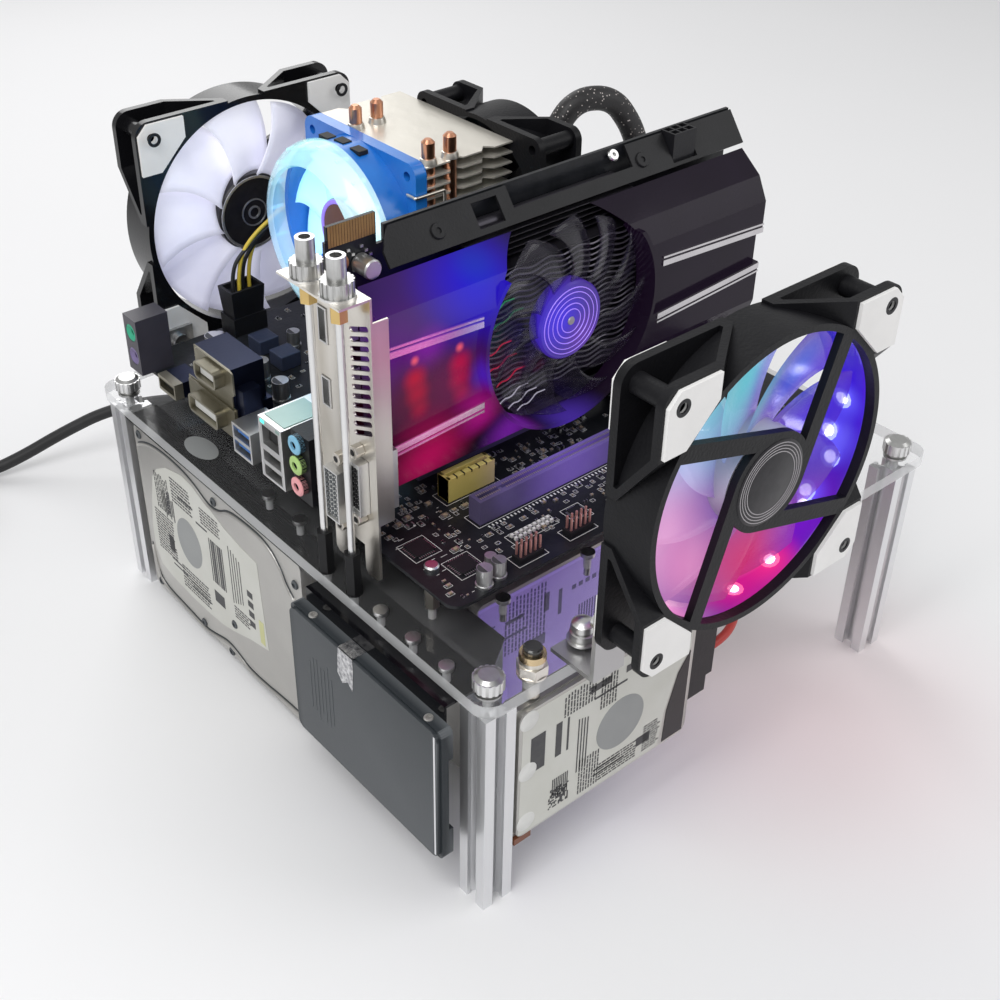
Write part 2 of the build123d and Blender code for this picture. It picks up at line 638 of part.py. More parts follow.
# Cooler base: a block bored for the two heat pipes
base_bottom = BOARD_TOP + SOCKET_HEIGHT + PACKAGE_HEIGHT
pipe_xs = (COOLER_X - PIPE_X_GAP / 2, COOLER_X + PIPE_X_GAP / 2)
pipe_ys = (COOLER_Y - PIPE_SPAN / 2, COOLER_Y + PIPE_SPAN / 2)
base_depth = PIPE_SPAN - 2 * PIPE_BEND - 1.0
with BuildPart(level(base_bottom, COOLER_X, COOLER_Y)) as cooler_base:
    Box(40, base_depth, PIPE_Z + 5 - base_bottom, align=BASE)
    with BuildSketch(facing_front(COOLER_Y + base_depth / 2 + 1)):
        with Locations(*[(x, PIPE_Z) for x in pipe_xs]):
            Circle(PIPE_RADIUS + PIPE_FIT / 2)
    extrude(amount=base_depth + 2, mode=Mode.SUBTRACT)
save(cooler_base, "cooler_base")

# Heat pipes: two tubes bent into a U, with closed tips above the top fin
with BuildPart() as heat_pipes:
    for pipe_x in pipe_xs:
        with BuildLine() as pipe_line:
            FilletPolyline(from_leg(pipe_x, pipe_ys[0], PIPE_TIP), from_leg(pipe_x, pipe_ys[0], PIPE_Z),
                           from_leg(pipe_x, pipe_ys[1], PIPE_Z), from_leg(pipe_x, pipe_ys[1], PIPE_TIP),
                           radius=PIPE_BEND)
        with BuildSketch(level(PIPE_TIP, pipe_x, pipe_ys[0])) as pipe_section:
            Circle(PIPE_RADIUS)
        sweep(sections=pipe_section.sketch, path=pipe_line.wires()[0])
    for tip in faces().filter_by(Axis.Z).group_by(Axis.Z)[-1]:
        chamfer(tip.edges(), 1.4)
save(heat_pipes, "heat_pipes")

# Cooler fins: level plates with notched near and far edges, strung on the pipes
fin_pitch = (FIN_TOP - FIN_THICKNESS - FIN_BOTTOM) / (FIN_PLATES - 1)
fin_width = FIN_END - FIN_START
fin_depth = FIN_FAR - FIN_NEAR
fin_middle = ((FIN_START + FIN_END) / 2, (FIN_NEAR + FIN_FAR) / 2)
with BuildPart() as cooler_fins:
    with BuildSketch(level(FIN_BOTTOM)) as fin_outline:
        with Locations(fin_middle):
            Rectangle(fin_width, fin_depth)
            with Locations(*[(x, side * fin_depth / 2) for x in (-8, 10) for side in (-1, 1)]):
                Rectangle(6, 5, rotation=45, mode=Mode.SUBTRACT)
        with Locations(*[(x, y) for x in pipe_xs for y in pipe_ys]):
            Circle(PIPE_RADIUS + PIPE_FIT, mode=Mode.SUBTRACT)
    with Locations(*[(0, 0, i * fin_pitch) for i in range(FIN_PLATES)]):
        add(Solid.extrude(fin_outline.sketch.face(), (0, 0, FIN_THICKNESS)))
save(cooler_fins, "cooler_fins")


# Fans. Each is made about its own axis, from the strut side to the other side.
def fan_blade(root, tip, chord, pitch, sweep_back, height, count):
    """Adds a ring of twisted blades, trimmed to a round tip, about the current plane's axis."""
    stations = [(root - 1.0, 0.8, 1.25, 0.0), ((root + tip) / 2, 0.95, 1.05, 0.35), (tip + 1.0, 1.1, 0.85, 1.0)]
    with BuildPart(mode=Mode.PRIVATE) as blade:
        for radius, width, turn, back in stations:
            plane = Plane(origin=(radius, back * sweep_back, height), x_dir=(0, 1, 0), z_dir=(1, 0, 0))
            with BuildSketch(plane):
                Rectangle(chord * width, 1.2, rotation=pitch * turn)
        loft(ruled=True)
        Cylinder(tip, 4 * chord, mode=Mode.INTERSECT)
    with PolarLocations(0, count):
        add(blade.part)


def make_rotor(plane, hub, tip, low, high, chord, pitch, sweep_back, count, shaft_end):
    """A hub with blades and a shaft that points back into the motor's boss."""
    with BuildPart(plane) as rotor:
        with Locations((0, 0, low)):
            Cylinder(hub, high - low, align=BASE)
        level_faces = faces().filter_by(Plane(plane.origin, z_dir=plane.z_dir))
        chamfer(level_faces.sort_by(Axis(plane.origin, plane.z_dir))[-1].edges(), 1.5)
        fan_blade(hub, tip, chord, pitch, sweep_back, (low + high) / 2, count)
        with Locations((0, 0, shaft_end)):
            Cylinder(SHAFT_RADIUS, low - shaft_end, align=BASE)
    return rotor


def strut_cross(plane, hub, bore, thickness, width, lean):
    """Adds a motor plate on four struts that leave its rim like a pinwheel, bored for the shaft."""
    with BuildSketch(plane) as cross:
        Circle(hub)
        with PolarLocations(0, 4, start_angle=lean):
            with Locations((bore / 2 + 0.5, hub - width / 2)):
                Rectangle(bore + 1, width)
        Circle(bore + 0.5, mode=Mode.INTERSECT)
        Circle(SHAFT_RADIUS + SHAFT_FIT, mode=Mode.SUBTRACT)
    extrude(to_extrude=cross.sketch, amount=thickness)


def fan_ear(size, depth):
    """One corner of a frame: two flanges that close to a point along each side, open between them."""
    half = size / 2
    tip = size * EAR_NEAR_MIDDLE
    flat = size * EAR_FLAT
    sides = (Plane.XZ.offset(-size), Plane.YZ)
    with BuildPart(mode=Mode.PRIVATE) as pocket:
        for side, joining in zip(sides, (Mode.ADD, Mode.INTERSECT)):
            with BuildSketch(side) as inside:
                with BuildLine():
                    Polyline((half + 1, FAN_FLANGE), (flat, FAN_FLANGE), (tip + 5, depth - EAR_END),
                             (tip + 5, depth - FAN_FLANGE), (half + 1, depth - FAN_FLANGE), close=True)
                make_face()
            extrude(to_extrude=inside.sketch, amount=size, mode=joining)
    with BuildPart(mode=Mode.PRIVATE) as ear:
        with BuildSketch(Plane.XY) as corner:
            RectangleRounded(size, size, size / 16)
            Circle(half - 1.0, mode=Mode.SUBTRACT)
            with Locations((tip + half, tip + half)):
                Rectangle(size, size, mode=Mode.INTERSECT)
        extrude(to_extrude=corner.sketch, amount=depth)
        for side in sides:
            with BuildSketch(side) as slope:
                with BuildLine():
                    Polyline((0, -1), (flat, -1), (flat, 0), (tip, depth - EAR_END), (0, depth - EAR_END),
                             close=True)
                make_face()
            extrude(to_extrude=slope.sketch, amount=size, mode=Mode.SUBTRACT)
        add(pocket.part, mode=Mode.SUBTRACT)
    return ear


def make_fan_frame(plane, size, depth, spacing, bore, hub, lean):
    """A fan frame: a round ring with a pocketed ear and a screw tube at each corner of its square."""
    with BuildPart(plane) as frame:
        with BuildSketch(plane) as ring:
            Circle(size / 2 - 0.3)
            Circle(bore, mode=Mode.SUBTRACT)
        extrude(to_extrude=ring.sketch, amount=depth)
        ear = fan_ear(size, depth)
        with PolarLocations(0, 4):
            add(ear.part)
        with BuildSketch(plane) as tubes:
            with GridLocations(spacing, spacing, 2, 2):
                Circle(FAN_HOLE + 1.8)
        extrude(to_extrude=tubes.sketch, amount=depth)
        strut_cross(plane, hub, bore, FAN_STRUT, hub * 0.34, lean)
        with BuildSketch(plane) as holes:
            with GridLocations(spacing, spacing, 2, 2):
                Circle(FAN_HOLE)
        extrude(to_extrude=holes.sketch, amount=depth, mode=Mode.SUBTRACT)
    return frame


# The front fan's struts face the front, the rear fan's struts face the back
frame_depth = FAN_DEPTH - 2 * FAN_PAD
fan_bore = FAN_SIZE / 2 - FAN_WALL
front_fan_plane = Plane(origin=from_leg(FRONT_FAN_X, FRONT_FAN_Y + FAN_PAD, FRONT_FAN_Z),
                        x_dir=(-1, 0, 0), z_dir=(0, 1, 0))
rear_fan_plane = Plane(origin=from_leg(REAR_FAN_X, REAR_FAN_Y + FAN_DEPTH - FAN_PAD, REAR_FAN_Z),
                       x_dir=(1, 0, 0), z_dir=(0, -1, 0))
rotor_low = FAN_STRUT + SPIN_GAP
for fan_name, fan_plane in (("front_fan", front_fan_plane), ("rear_fan", rear_fan_plane)):
    fan_frame = make_fan_frame(fan_plane, FAN_SIZE, frame_depth, FAN_HOLE_SPACING, fan_bore, FAN_HUB, FAN_LEAN)
    save(fan_frame, f"{fan_name}_frame")
    fan_rotor = make_rotor(fan_plane, FAN_HUB, fan_bore - BLADE_GAP, rotor_low, frame_depth - 1.0,
                           27.0, 32.0, 9.0, 9, 0.2)
    save(fan_rotor, f"{fan_name}_rotor")

# Pale rubber pads at the corners of both faces of both fans: five-sided, the outer corner cut short
pad_outer = FAN_SIZE / 2 - PAD_INSET
pad_inner = pad_outer - PAD_SIDE
PAD_OUTLINE = [(pad_outer - 5, pad_outer), (pad_inner, pad_outer), (pad_inner, pad_outer - PAD_SIDE + PAD_CUT),
               (pad_outer - PAD_SIDE + PAD_CUT, pad_inner), (pad_outer, pad_inner), (pad_outer, pad_outer - 5)]
with BuildPart() as fan_pads:
    for fan_plane in (front_fan_plane, rear_fan_plane):
        for height in (-FAN_PAD, frame_depth):
            with BuildSketch(fan_plane.offset(height)) as pads:
                with PolarLocations(0, 4):
                    Polygon(*PAD_OUTLINE, align=None)
                with GridLocations(FAN_HOLE_SPACING, FAN_HOLE_SPACING, 2, 2):
                    Circle(FAN_HOLE, mode=Mode.SUBTRACT)
            extrude(to_extrude=pads.sketch, amount=FAN_PAD)
save(fan_pads, "fan_pads")

# Sheet brackets from the deck to the fans' lower corner holes
with BuildPart() as fan_brackets:
    for side in (-1, 1):
        hole_x = FRONT_FAN_X + side * FAN_HOLE_SPACING / 2
        foot_x = FRONT_BRACKET_SCREWS[0 if side < 0 else 1][0]
        middle = (hole_x + foot_x) / 2
        with BuildSketch(facing_right(middle - 8)) as front_profile:
            with BuildLine():
                Polyline((front_sheet_y, DECK_TOP), (DECK_NEAR_OVERHANG - 6, DECK_TOP),
                         (DECK_NEAR_OVERHANG - 6, DECK_TOP + FOOT_SHEET),
                         (front_sheet_y + FOOT_SHEET, DECK_TOP + FOOT_SHEET),
                         (front_sheet_y + FOOT_SHEET, FRONT_FAN_Z - FAN_HOLE_SPACING / 2 + 7),
                         (front_sheet_y, FRONT_FAN_Z - FAN_HOLE_SPACING / 2 + 7), close=True)
            make_face()
        extrude(to_extrude=front_profile.sketch, amount=16)
        hole_x = REAR_FAN_X + side * FAN_HOLE_SPACING / 2
        with BuildSketch(facing_right(hole_x - 8)) as rear_profile:
            with BuildLine():
                Polyline((rear_sheet_y, DECK_TOP), (rear_sheet_y - 12, DECK_TOP),
                         (rear_sheet_y - 12, DECK_TOP + FOOT_SHEET),
                         (rear_sheet_y - FOOT_SHEET, DECK_TOP + FOOT_SHEET),
                         (rear_sheet_y - FOOT_SHEET, REAR_FAN_Z - FAN_HOLE_SPACING / 2 + 7),
                         (rear_sheet_y, REAR_FAN_Z - FAN_HOLE_SPACING / 2 + 7), close=True)
            make_face()
        extrude(to_extrude=rear_profile.sketch, amount=16)
    with BuildSketch(level(DECK_TOP)) as foot_holes:
        with Locations(*FRONT_BRACKET_SCREWS, *REAR_BRACKET_SCREWS):
            Circle(SCREW_HOLE)
    extrude(to_extrude=foot_holes.sketch, amount=FOOT_SHEET, mode=Mode.SUBTRACT)
    with BuildSketch(facing_front(front_sheet_y + 3)) as front_holes:
        with Locations(*[(FRONT_FAN_X + s * FAN_HOLE_SPACING / 2, FRONT_FAN_Z - FAN_HOLE_SPACING / 2)
                         for s in (-1, 1)]):
            Circle(FAN_HOLE)
    extrude(to_extrude=front_holes.sketch, amount=4, mode=Mode.SUBTRACT)
    with BuildSketch(facing_front(rear_sheet_y + 1)) as rear_holes:
        with Locations(*[(REAR_FAN_X + s * FAN_HOLE_SPACING / 2, REAR_FAN_Z - FAN_HOLE_SPACING / 2)
                         for s in (-1, 1)]):
            Circle(FAN_HOLE)
    extrude(to_extrude=rear_holes.sketch, amount=4, mode=Mode.SUBTRACT)
save(fan_brackets, "fan_brackets")

# Blue cooler fan: a square flange against the fins and a round duct towards the ports
duct_plane = Plane(origin=from_leg(FIN_START, DUCT_FAN_Y, DUCT_FAN_Z), x_dir=(0, 1, 0), z_dir=(-1, 0, 0))
with BuildPart(duct_plane) as duct_fan_frame:
    with BuildSketch(duct_plane) as duct_flange:
        RectangleRounded(DUCT_FAN_SIZE, DUCT_FAN_SIZE, 6)
        Circle(DUCT_BORE, mode=Mode.SUBTRACT)
        with GridLocations(DUCT_FAN_SIZE - 12.5, DUCT_FAN_SIZE - 12.5, 2, 2):
            Circle(FAN_HOLE, mode=Mode.SUBTRACT)
    extrude(to_extrude=duct_flange.sketch, amount=DUCT_FLANGE)
    with BuildSketch(duct_plane) as duct:
        Circle(DUCT_BORE + DUCT_WALL)
        Circle(DUCT_BORE, mode=Mode.SUBTRACT)
    extrude(to_extrude=duct.sketch, amount=DUCT_FLANGE + DUCT_LENGTH)
    strut_cross(duct_plane, 15.0, DUCT_BORE, FAN_STRUT, 4.0, 20)
save(duct_fan_frame, "duct_fan_frame")

duct_front = DUCT_FLANGE + DUCT_LENGTH
duct_fan_rotor = make_rotor(duct_plane, 16.0, DUCT_BORE - BLADE_GAP, rotor_low, duct_front - 2.0,
                            22.0, 34.0, 5.0, 7, 0.2)
save(duct_fan_rotor, "duct_fan_rotor")

# Clear domed ring on the duct's mouth, narrowing towards the ports
ring_outer = DUCT_BORE + DUCT_WALL + 2.0
ring_inner = ring_outer - RING_WALL
ring_front = duct_front + RING_DEPTH
with BuildPart() as duct_ring:
    with BuildSketch(Plane(origin=duct_plane.origin, x_dir=(0, 1, 0), z_dir=(0, 0, 1))) as ring_section:
        with BuildLine():
            Line((ring_inner, duct_front), (ring_outer, duct_front))
            ThreePointArc((ring_outer, duct_front), (ring_outer - 2.0, duct_front + RING_DEPTH * 0.65),
                          (RING_MOUTH + 1.0, ring_front))
            Line((RING_MOUTH + 1.0, ring_front), (RING_MOUTH, ring_front - RING_WALL))
            ThreePointArc((RING_MOUTH, ring_front - RING_WALL),
                          (ring_inner - 2.0, duct_front + RING_DEPTH * 0.6), (ring_inner, duct_front))
        make_face()
    revolve(ring_section.sketch, axis=Axis(duct_plane.origin, (-1, 0, 0)))
save(duct_ring, "duct_ring")

# Black fan on the far side of the fins, its struts away from them
pull_depth = FAN_DEPTH
pull_bore = PULL_FAN_SIZE / 2 - 2.5
pull_plane = Plane(origin=from_leg(FIN_END + pull_depth, PULL_FAN_Y, PULL_FAN_Z), x_dir=(0, 1, 0),
                   z_dir=(-1, 0, 0))
pull_fan_frame = make_fan_frame(pull_plane, PULL_FAN_SIZE, pull_depth, PULL_FAN_SIZE - 11, pull_bore, 17.0, 20)
save(pull_fan_frame, "pull_fan_frame")
pull_fan_rotor = make_rotor(pull_plane, 17.0, pull_bore - BLADE_GAP, rotor_low, pull_depth - 1.5,
                            22.0, 34.0, 5.0, 7, 0.2)
save(pull_fan_rotor, "pull_fan_rotor")

# Wire clips that hold the blue fan against the fins
CLIP_WIRE = 0.8
CLIP_GAP = 0.1
clip_front = FIN_START - DUCT_FLANGE - CLIP_WIRE - CLIP_GAP
clip_back = FIN_START + 9.0
clip_low = DUCT_FAN_Z - 28.0
clip_high = DUCT_FAN_Z + 28.0
flange_near = DUCT_FAN_Y - DUCT_FAN_SIZE / 2
flange_far = DUCT_FAN_Y + DUCT_FAN_SIZE / 2
with BuildPart() as fan_clips:
    for edge, inward in ((min(flange_near, FIN_NEAR), 1), (max(flange_far, FIN_FAR), -1)):
        clip_y = edge - inward * (CLIP_WIRE + CLIP_GAP)
        hook_y = edge + inward * 5.0
        with BuildLine() as clip_line:
            FilletPolyline(from_leg(clip_front, hook_y, clip_low), from_leg(clip_front, clip_y, clip_low),
                           from_leg(clip_back, clip_y, clip_low), from_leg(clip_back, clip_y, clip_high),
                           from_leg(clip_front, clip_y, clip_high), from_leg(clip_front, hook_y, clip_high),
                           radius=1.0)
        clip_path = clip_line.wires()[0]
        with BuildSketch(Plane(origin=clip_path @ 0, z_dir=clip_path % 0)) as clip_section:
            Circle(CLIP_WIRE)
        sweep(sections=clip_section.sketch, path=clip_path)
save(fan_clips, "fan_clips")

# Card circuit board: an upright sheet with an edge connector below and a gold edge above
finger_start = BOARD_X + SLOT_START + 2.2
finger_end = BOARD_X + SLOT_START + SLOT_LENGTH - 3.0
key_x = BOARD_X + SLOT_START + SLOT_KEY
KEY_NOTCH = 1.1
with BuildPart() as card_board:
    with BuildSketch(facing_front(CARD_Y + CARD_THICKNESS / 2)):
        with BuildLine():
            Polyline((CARD_START, CARD_BOTTOM), (finger_start, CARD_BOTTOM), (finger_start, FINGER_TIP),
                     (key_x - KEY_NOTCH, FINGER_TIP), (key_x - KEY_NOTCH, CARD_BOTTOM - 0.5),
                     (key_x + KEY_NOTCH, CARD_BOTTOM - 0.5), (key_x + KEY_NOTCH, FINGER_TIP),
                     (finger_end, FINGER_TIP), (finger_end, CARD_BOTTOM), (CARD_END, CARD_BOTTOM),
                     (CARD_END, CARD_TOP), (CARD_TAB[2], CARD_TOP), (CARD_TAB[2], CARD_TOP - CARD_NOTCH),
                     (CARD_TAB[1], CARD_TOP - CARD_NOTCH), (CARD_TAB[1], CARD_TOP + CARD_TAB_RISE),
                     (CARD_TAB[0], CARD_TOP + CARD_TAB_RISE), (CARD_TAB[0], CARD_TOP), (CARD_START, CARD_TOP),
                     close=True)
        make_face()
        with Locations(*CARD_HOLES):
            Circle(2.0, mode=Mode.SUBTRACT)
    extrude(amount=CARD_THICKNESS)
save(card_board, "card_board")

# Card ports: bodies on the circuit board, their shells through the bracket
CARD_PORT_BACK = BRACKET_X + BRACKET_SHEET
CARD_PORT_END = SHROUD_START - 0.3
# Each port: outer end of its shell, near side of its body, far side or None for the circuit board, low, high
PORT_WALL = 1.5
SHELLS = []
PORTS = [(-5.0, 83.5, None, BOARD_TOP + 9.5, BOARD_TOP + 36.5),
         (-2.6, 72.0, 84.0, BOARD_TOP + 18.5, BOARD_TOP + 45.5),
         (1.5, 94.5, None, BOARD_TOP + 55.5, BOARD_TOP + 71.5),
         (1.5, 94.5, None, BOARD_TOP + 83.5, BOARD_TOP + 101.5)]
SHELL_WIDTHS = (9.0, 9.0, 5.5, 5.5)
SHELL_FIT = 0.2

with BuildPart() as card_ports:
    for (reach, near, far, low, high), width in zip(PORTS, SHELL_WIDTHS):
        span_box(CARD_PORT_BACK, CARD_PORT_END, near, CARD_FRONT if far is None else far, low, high)
        SHELLS.append((reach, near + PORT_WALL, near + PORT_WALL + width, low + PORT_WALL, high - PORT_WALL))
    for reach, near, far, low, high in SHELLS:
        span_box(reach, CARD_PORT_BACK, near, far, low, high)
        mouth_depth = CARD_PORT_BACK - reach + 2.0
        with Locations(from_leg(reach + mouth_depth / 2, (near + far) / 2, (low + high) / 2)):
            Box(mouth_depth, far - near - 1.4, high - low - 1.4, mode=Mode.SUBTRACT)
save(card_ports, "card_ports")

# Card bracket: a folded sheet with two tongues, a tab above, a stiffening flange and slanted vents
VENTS = 12
VENT_FIRST = BOARD_TOP + 56.0
VENT_PITCH = 4.0
VENT_MIDDLE = 76.0
tongue_outline = []
for start in (BRACKET_NEAR, BRACKET_NEAR + SLOT_PITCH):
    end = start + TONGUE_WIDTH
    tongue_outline += [(start, BRACKET_BOTTOM), (start, TONGUE_TIP + TONGUE_CUT), (start + TONGUE_CUT, TONGUE_TIP),
                       (end - TONGUE_CUT, TONGUE_TIP), (end, TONGUE_TIP + TONGUE_CUT), (end, BRACKET_BOTTOM)]
with BuildPart() as card_bracket:
    with BuildSketch(facing_right(BRACKET_X)) as plate:
        with BuildLine():
            Polyline(*tongue_outline, (BRACKET_FAR, BRACKET_BOTTOM + 3 * TONGUE_CUT),
                     (BRACKET_FAR, BRACKET_TOP), (BRACKET_NEAR, BRACKET_TOP), close=True)
        make_face()
        for reach, near, far, low, high in SHELLS:
            with Locations(((near + far) / 2, (low + high) / 2)):
                Rectangle(far - near + 2 * SHELL_FIT, high - low + 2 * SHELL_FIT, mode=Mode.SUBTRACT)
        with Locations(*[(VENT_MIDDLE, VENT_FIRST + i * VENT_PITCH) for i in range(VENTS)]):
            SlotOverall(12.5, 2.2, rotation=-22, mode=Mode.SUBTRACT)
    extrude(to_extrude=plate.sketch, amount=BRACKET_SHEET)
    tab_outer = BRACKET_X + BRACKET_SHEET - TAB_REACH - BRACKET_SHEET
    span_box(tab_outer, BRACKET_X, BRACKET_NEAR, BRACKET_FAR, BRACKET_TOP - BRACKET_SHEET, BRACKET_TOP)
    with Locations(*[from_leg(ROD_X, y, BRACKET_TOP) for y in ROD_YS]):
        Cylinder(ROD_RADIUS + 0.4, 4.0, mode=Mode.SUBTRACT)
    span_box(BRACKET_X, 10.0, BRACKET_NEAR, BRACKET_NEAR + BRACKET_SHEET, BRACKET_BOTTOM + 14, BRACKET_TOP - 10)
save(card_bracket, "card_bracket")

# Card heatsink: a base on the card's chip, level plates, the fan's motor boss, and a copper pipe on top
sink_top = SINK_BOTTOM + (SINK_PLATES - 1) * SINK_PITCH + SINK_PLATE
boss_front = CARD_FAN_BACK + SPIN_GAP
with BuildPart() as card_heatsink:
    span_box(CARD_FAN_X - CARD_CHIP / 2, CARD_FAN_X + CARD_CHIP / 2, SINK_BACK, CARD_FRONT,
             CARD_FAN_Z - CARD_CHIP / 2, CARD_FAN_Z + CARD_CHIP / 2)
    span_box(SINK_START, SINK_END, SINK_BACK - 3.0, SINK_BACK, SINK_BOTTOM, sink_top)
    for i in range(SINK_PLATES):
        plate_z = SINK_BOTTOM + i * SINK_PITCH
        plate_front = SINK_FRONT if plate_z < SHROUD_SHOULDER else SHROUD_BACK + 0.3
        span_box(SINK_START, SINK_END, plate_front, SINK_BACK, plate_z, plate_z + SINK_PLATE)
    with BuildSketch(facing_front(SINK_BACK - 1.0)) as boss:
        with Locations((CARD_FAN_X, CARD_FAN_Z)):
            Circle(14.0)
    extrude(to_extrude=boss.sketch, amount=SINK_BACK - 1.0 - boss_front)
    with BuildSketch(facing_front(boss_front)) as boss_bore:
        with Locations((CARD_FAN_X, CARD_FAN_Z)):
            Circle(SHAFT_RADIUS + SHAFT_FIT)
    extrude(to_extrude=boss_bore.sketch, amount=-9.0, mode=Mode.SUBTRACT)
    with BuildSketch(facing_right(SINK_START + 6)) as pipe_round:
        with Locations((CARD_FRONT - PIPE_RADIUS - 0.2, sink_top + PIPE_RADIUS + 0.05)):
            Circle(PIPE_RADIUS)
    extrude(to_extrude=pipe_round.sketch, amount=SINK_END - SINK_START - 12)
save(card_heatsink, "card_heatsink")

# Card fan: a ring of curved blades on a round hub
card_fan_plane = Plane(origin=from_leg(CARD_FAN_X, CARD_FAN_BACK, CARD_FAN_Z), x_dir=(1, 0, 0),
                       z_dir=(0, -1, 0))
card_fan_rotor = make_rotor(card_fan_plane, CARD_FAN_HUB, CARD_FAN_TIP, 0.0, 7.0, 13.0, 24.0, 12.0, 11, -6.0)
save(card_fan_rotor, "card_fan_rotor")

# Card shroud: a thin moulded cover, flat in front, with a slanted top and bottom and a sunk tapering band
BAND = [(SHROUD_START, BOARD_TOP + 82.0), (CARD_END, BOARD_TOP + 70.6), (CARD_END, BOARD_TOP + 56.4),
        (SHROUD_START, BOARD_TOP + 43.0)]
shoulder_y = SHROUD_FACE + SHROUD_SLANT
section_ys = (SHROUD_BACK, shoulder_y, SHROUD_FACE, SHROUD_FACE, shoulder_y, SHROUD_BACK)
with BuildPart() as card_shroud:
    with BuildSketch(facing_right(SHROUD_START)) as section:
        with BuildLine():
            Polyline(*[(y, CARD_BOTTOM + rise) for y, rise in zip(section_ys, SHROUD_HEIGHTS)], close=True)
        make_face()
    extrude(to_extrude=section.sketch, amount=CARD_END - SHROUD_START)
    with BuildSketch(facing_front(SHROUD_FACE + BAND_DEPTH)) as band:
        with BuildLine():
            Polyline(*BAND, close=True)
        make_face()
    extrude(to_extrude=band.sketch, amount=2 * BAND_DEPTH, mode=Mode.SUBTRACT)
    open_back = faces().sort_by(Axis.Y)[-1]
    offset(amount=-SHROUD_WALL, openings=open_back)
    with BuildSketch(facing_front(SINK_FRONT - 0.3)) as collar:
        with Locations((CARD_FAN_X, CARD_FAN_Z)):
            Circle(CARD_FAN_OPENING + SHROUD_WALL)
        with Locations((CARD_FAN_X, SHROUD_SHOULDER + 10)):
            Rectangle(120.0, 20.0, mode=Mode.SUBTRACT)
    extrude(to_extrude=collar.sketch, amount=SINK_FRONT - 0.3 - SHROUD_FACE)
    with BuildSketch(facing_front(SHROUD_BACK + 1)) as opening:
        with Locations((CARD_FAN_X, CARD_FAN_Z)):
            Circle(CARD_FAN_OPENING)
    extrude(to_extrude=opening.sketch, amount=SHROUD_BACK - SHROUD_FACE + 12, mode=Mode.SUBTRACT)
save(card_shroud, "card_shroud")

# Chrome stripes beside the band: a wide one and a thin one at each edge, stopped short of the fan opening
STRIPE_WIDE = 2.6
STRIPE_THIN = 0.9
STRIPE_GAP = 1.0
STRIPE_PROUD = 0.6


def band_edge(x, upper):
    """Height of the band's edge at x."""
    start, end = (BAND[0], BAND[1]) if upper else (BAND[3], BAND[2])
    return start[1] + (end[1] - start[1]) * (x - start[0]) / (end[0] - start[0])


with BuildPart() as shroud_trim:
    for upper, outward in ((True, 1), (False, -1)):
        half = math.sqrt((CARD_FAN_OPENING + 5) ** 2 - (band_edge(CARD_FAN_X, upper) - CARD_FAN_Z) ** 2)
        for left, right in ((SHROUD_START, CARD_FAN_X - half), (CARD_FAN_X + half, CARD_END)):
            for shift, width in ((0.4, STRIPE_WIDE), (0.4 + STRIPE_WIDE + STRIPE_GAP, STRIPE_THIN)):
                a = band_edge(left, upper) + outward * shift
                b = band_edge(right, upper) + outward * shift
                with BuildSketch(facing_front(SHROUD_FACE)) as stripe:
                    with BuildLine():
                        Polyline((left, a), (right, b), (right, b + outward * width),
                                 (left, a + outward * width), close=True)
                    make_face()
                extrude(to_extrude=stripe.sketch, amount=STRIPE_PROUD)
save(shroud_trim, "shroud_trim")

# Slanted frame along the card's top, from the shroud up to the circuit board
frame_low = (SHROUD_BACK + 0.6, CARD_TOP - 13.5)
frame_high = (CARD_FRONT - 0.2, CARD_TOP - 1.0)
frame_slope = math.dist(frame_low, frame_high)
frame_run = ((frame_high[0] - frame_low[0]) / frame_slope, (frame_high[1] - frame_low[1]) / frame_slope)
FRAME_START = 30.0
FRAME_SHEET = 1.2
top_plane = Plane(origin=from_leg(0, *frame_low), x_dir=(1, 0, 0), z_dir=(0, -frame_run[1], frame_run[0]))
with BuildPart() as card_top_frame:
    with BuildSketch(top_plane) as top_sheet:
        with BuildLine():
            Polyline((FRAME_START, 0), (CARD_END, 0), (CARD_END, frame_slope), (FRAME_START + 6, frame_slope),
                     (FRAME_START, frame_slope - 9), close=True)
        make_face()
        with Locations((81.5, frame_slope / 2)):
            Rectangle(13.0, frame_slope - 5, mode=Mode.SUBTRACT)
        with Locations((127.0, frame_slope)):
            Rectangle(66.0, 2 * (frame_slope - 6.0), mode=Mode.SUBTRACT)
        with Locations((sum(CARD_SOCKET) / 2, frame_slope)):
            Rectangle(CARD_SOCKET[1] - CARD_SOCKET[0] + 1.0, 2 * (frame_slope - 1.5), mode=Mode.SUBTRACT)
        with Locations((56.0, frame_slope / 2), (166.0, frame_slope / 2)):
            Circle(SCREW_RADIUS, mode=Mode.SUBTRACT)
    extrude(to_extrude=top_sheet.sketch, amount=FRAME_SHEET)
save(card_top_frame, "card_top_frame")

# Rods that hold the bracket's tab: hex spacers on washers, rods with a brass hex, and knurled nuts
spacer_top = DECK_TOP + ROD_WASHER + SPACER_HEIGHT
tab_under = BRACKET_TOP - BRACKET_SHEET
with BuildPart() as rod_spacers:
    with BuildSketch(level(DECK_TOP)) as washers:
        with Locations(*rod_places):
            Circle(SPACER_ACROSS / 2 + 0.4)
    extrude(to_extrude=washers.sketch, amount=ROD_WASHER)
    with BuildSketch(level(DECK_TOP + ROD_WASHER)) as hexes:
        with Locations(*rod_places):
            RegularPolygon(SPACER_ACROSS / 2, 6, major_radius=False)
    extrude(to_extrude=hexes.sketch, amount=SPACER_HEIGHT)
    with BuildSketch(level(DECK_TOP)) as studs:
        with Locations(*rod_places):
            Circle(SCREW_RADIUS + 0.1)
    extrude(to_extrude=studs.sketch, amount=-DECK_THICKNESS)
save(rod_spacers, "rod_spacers")

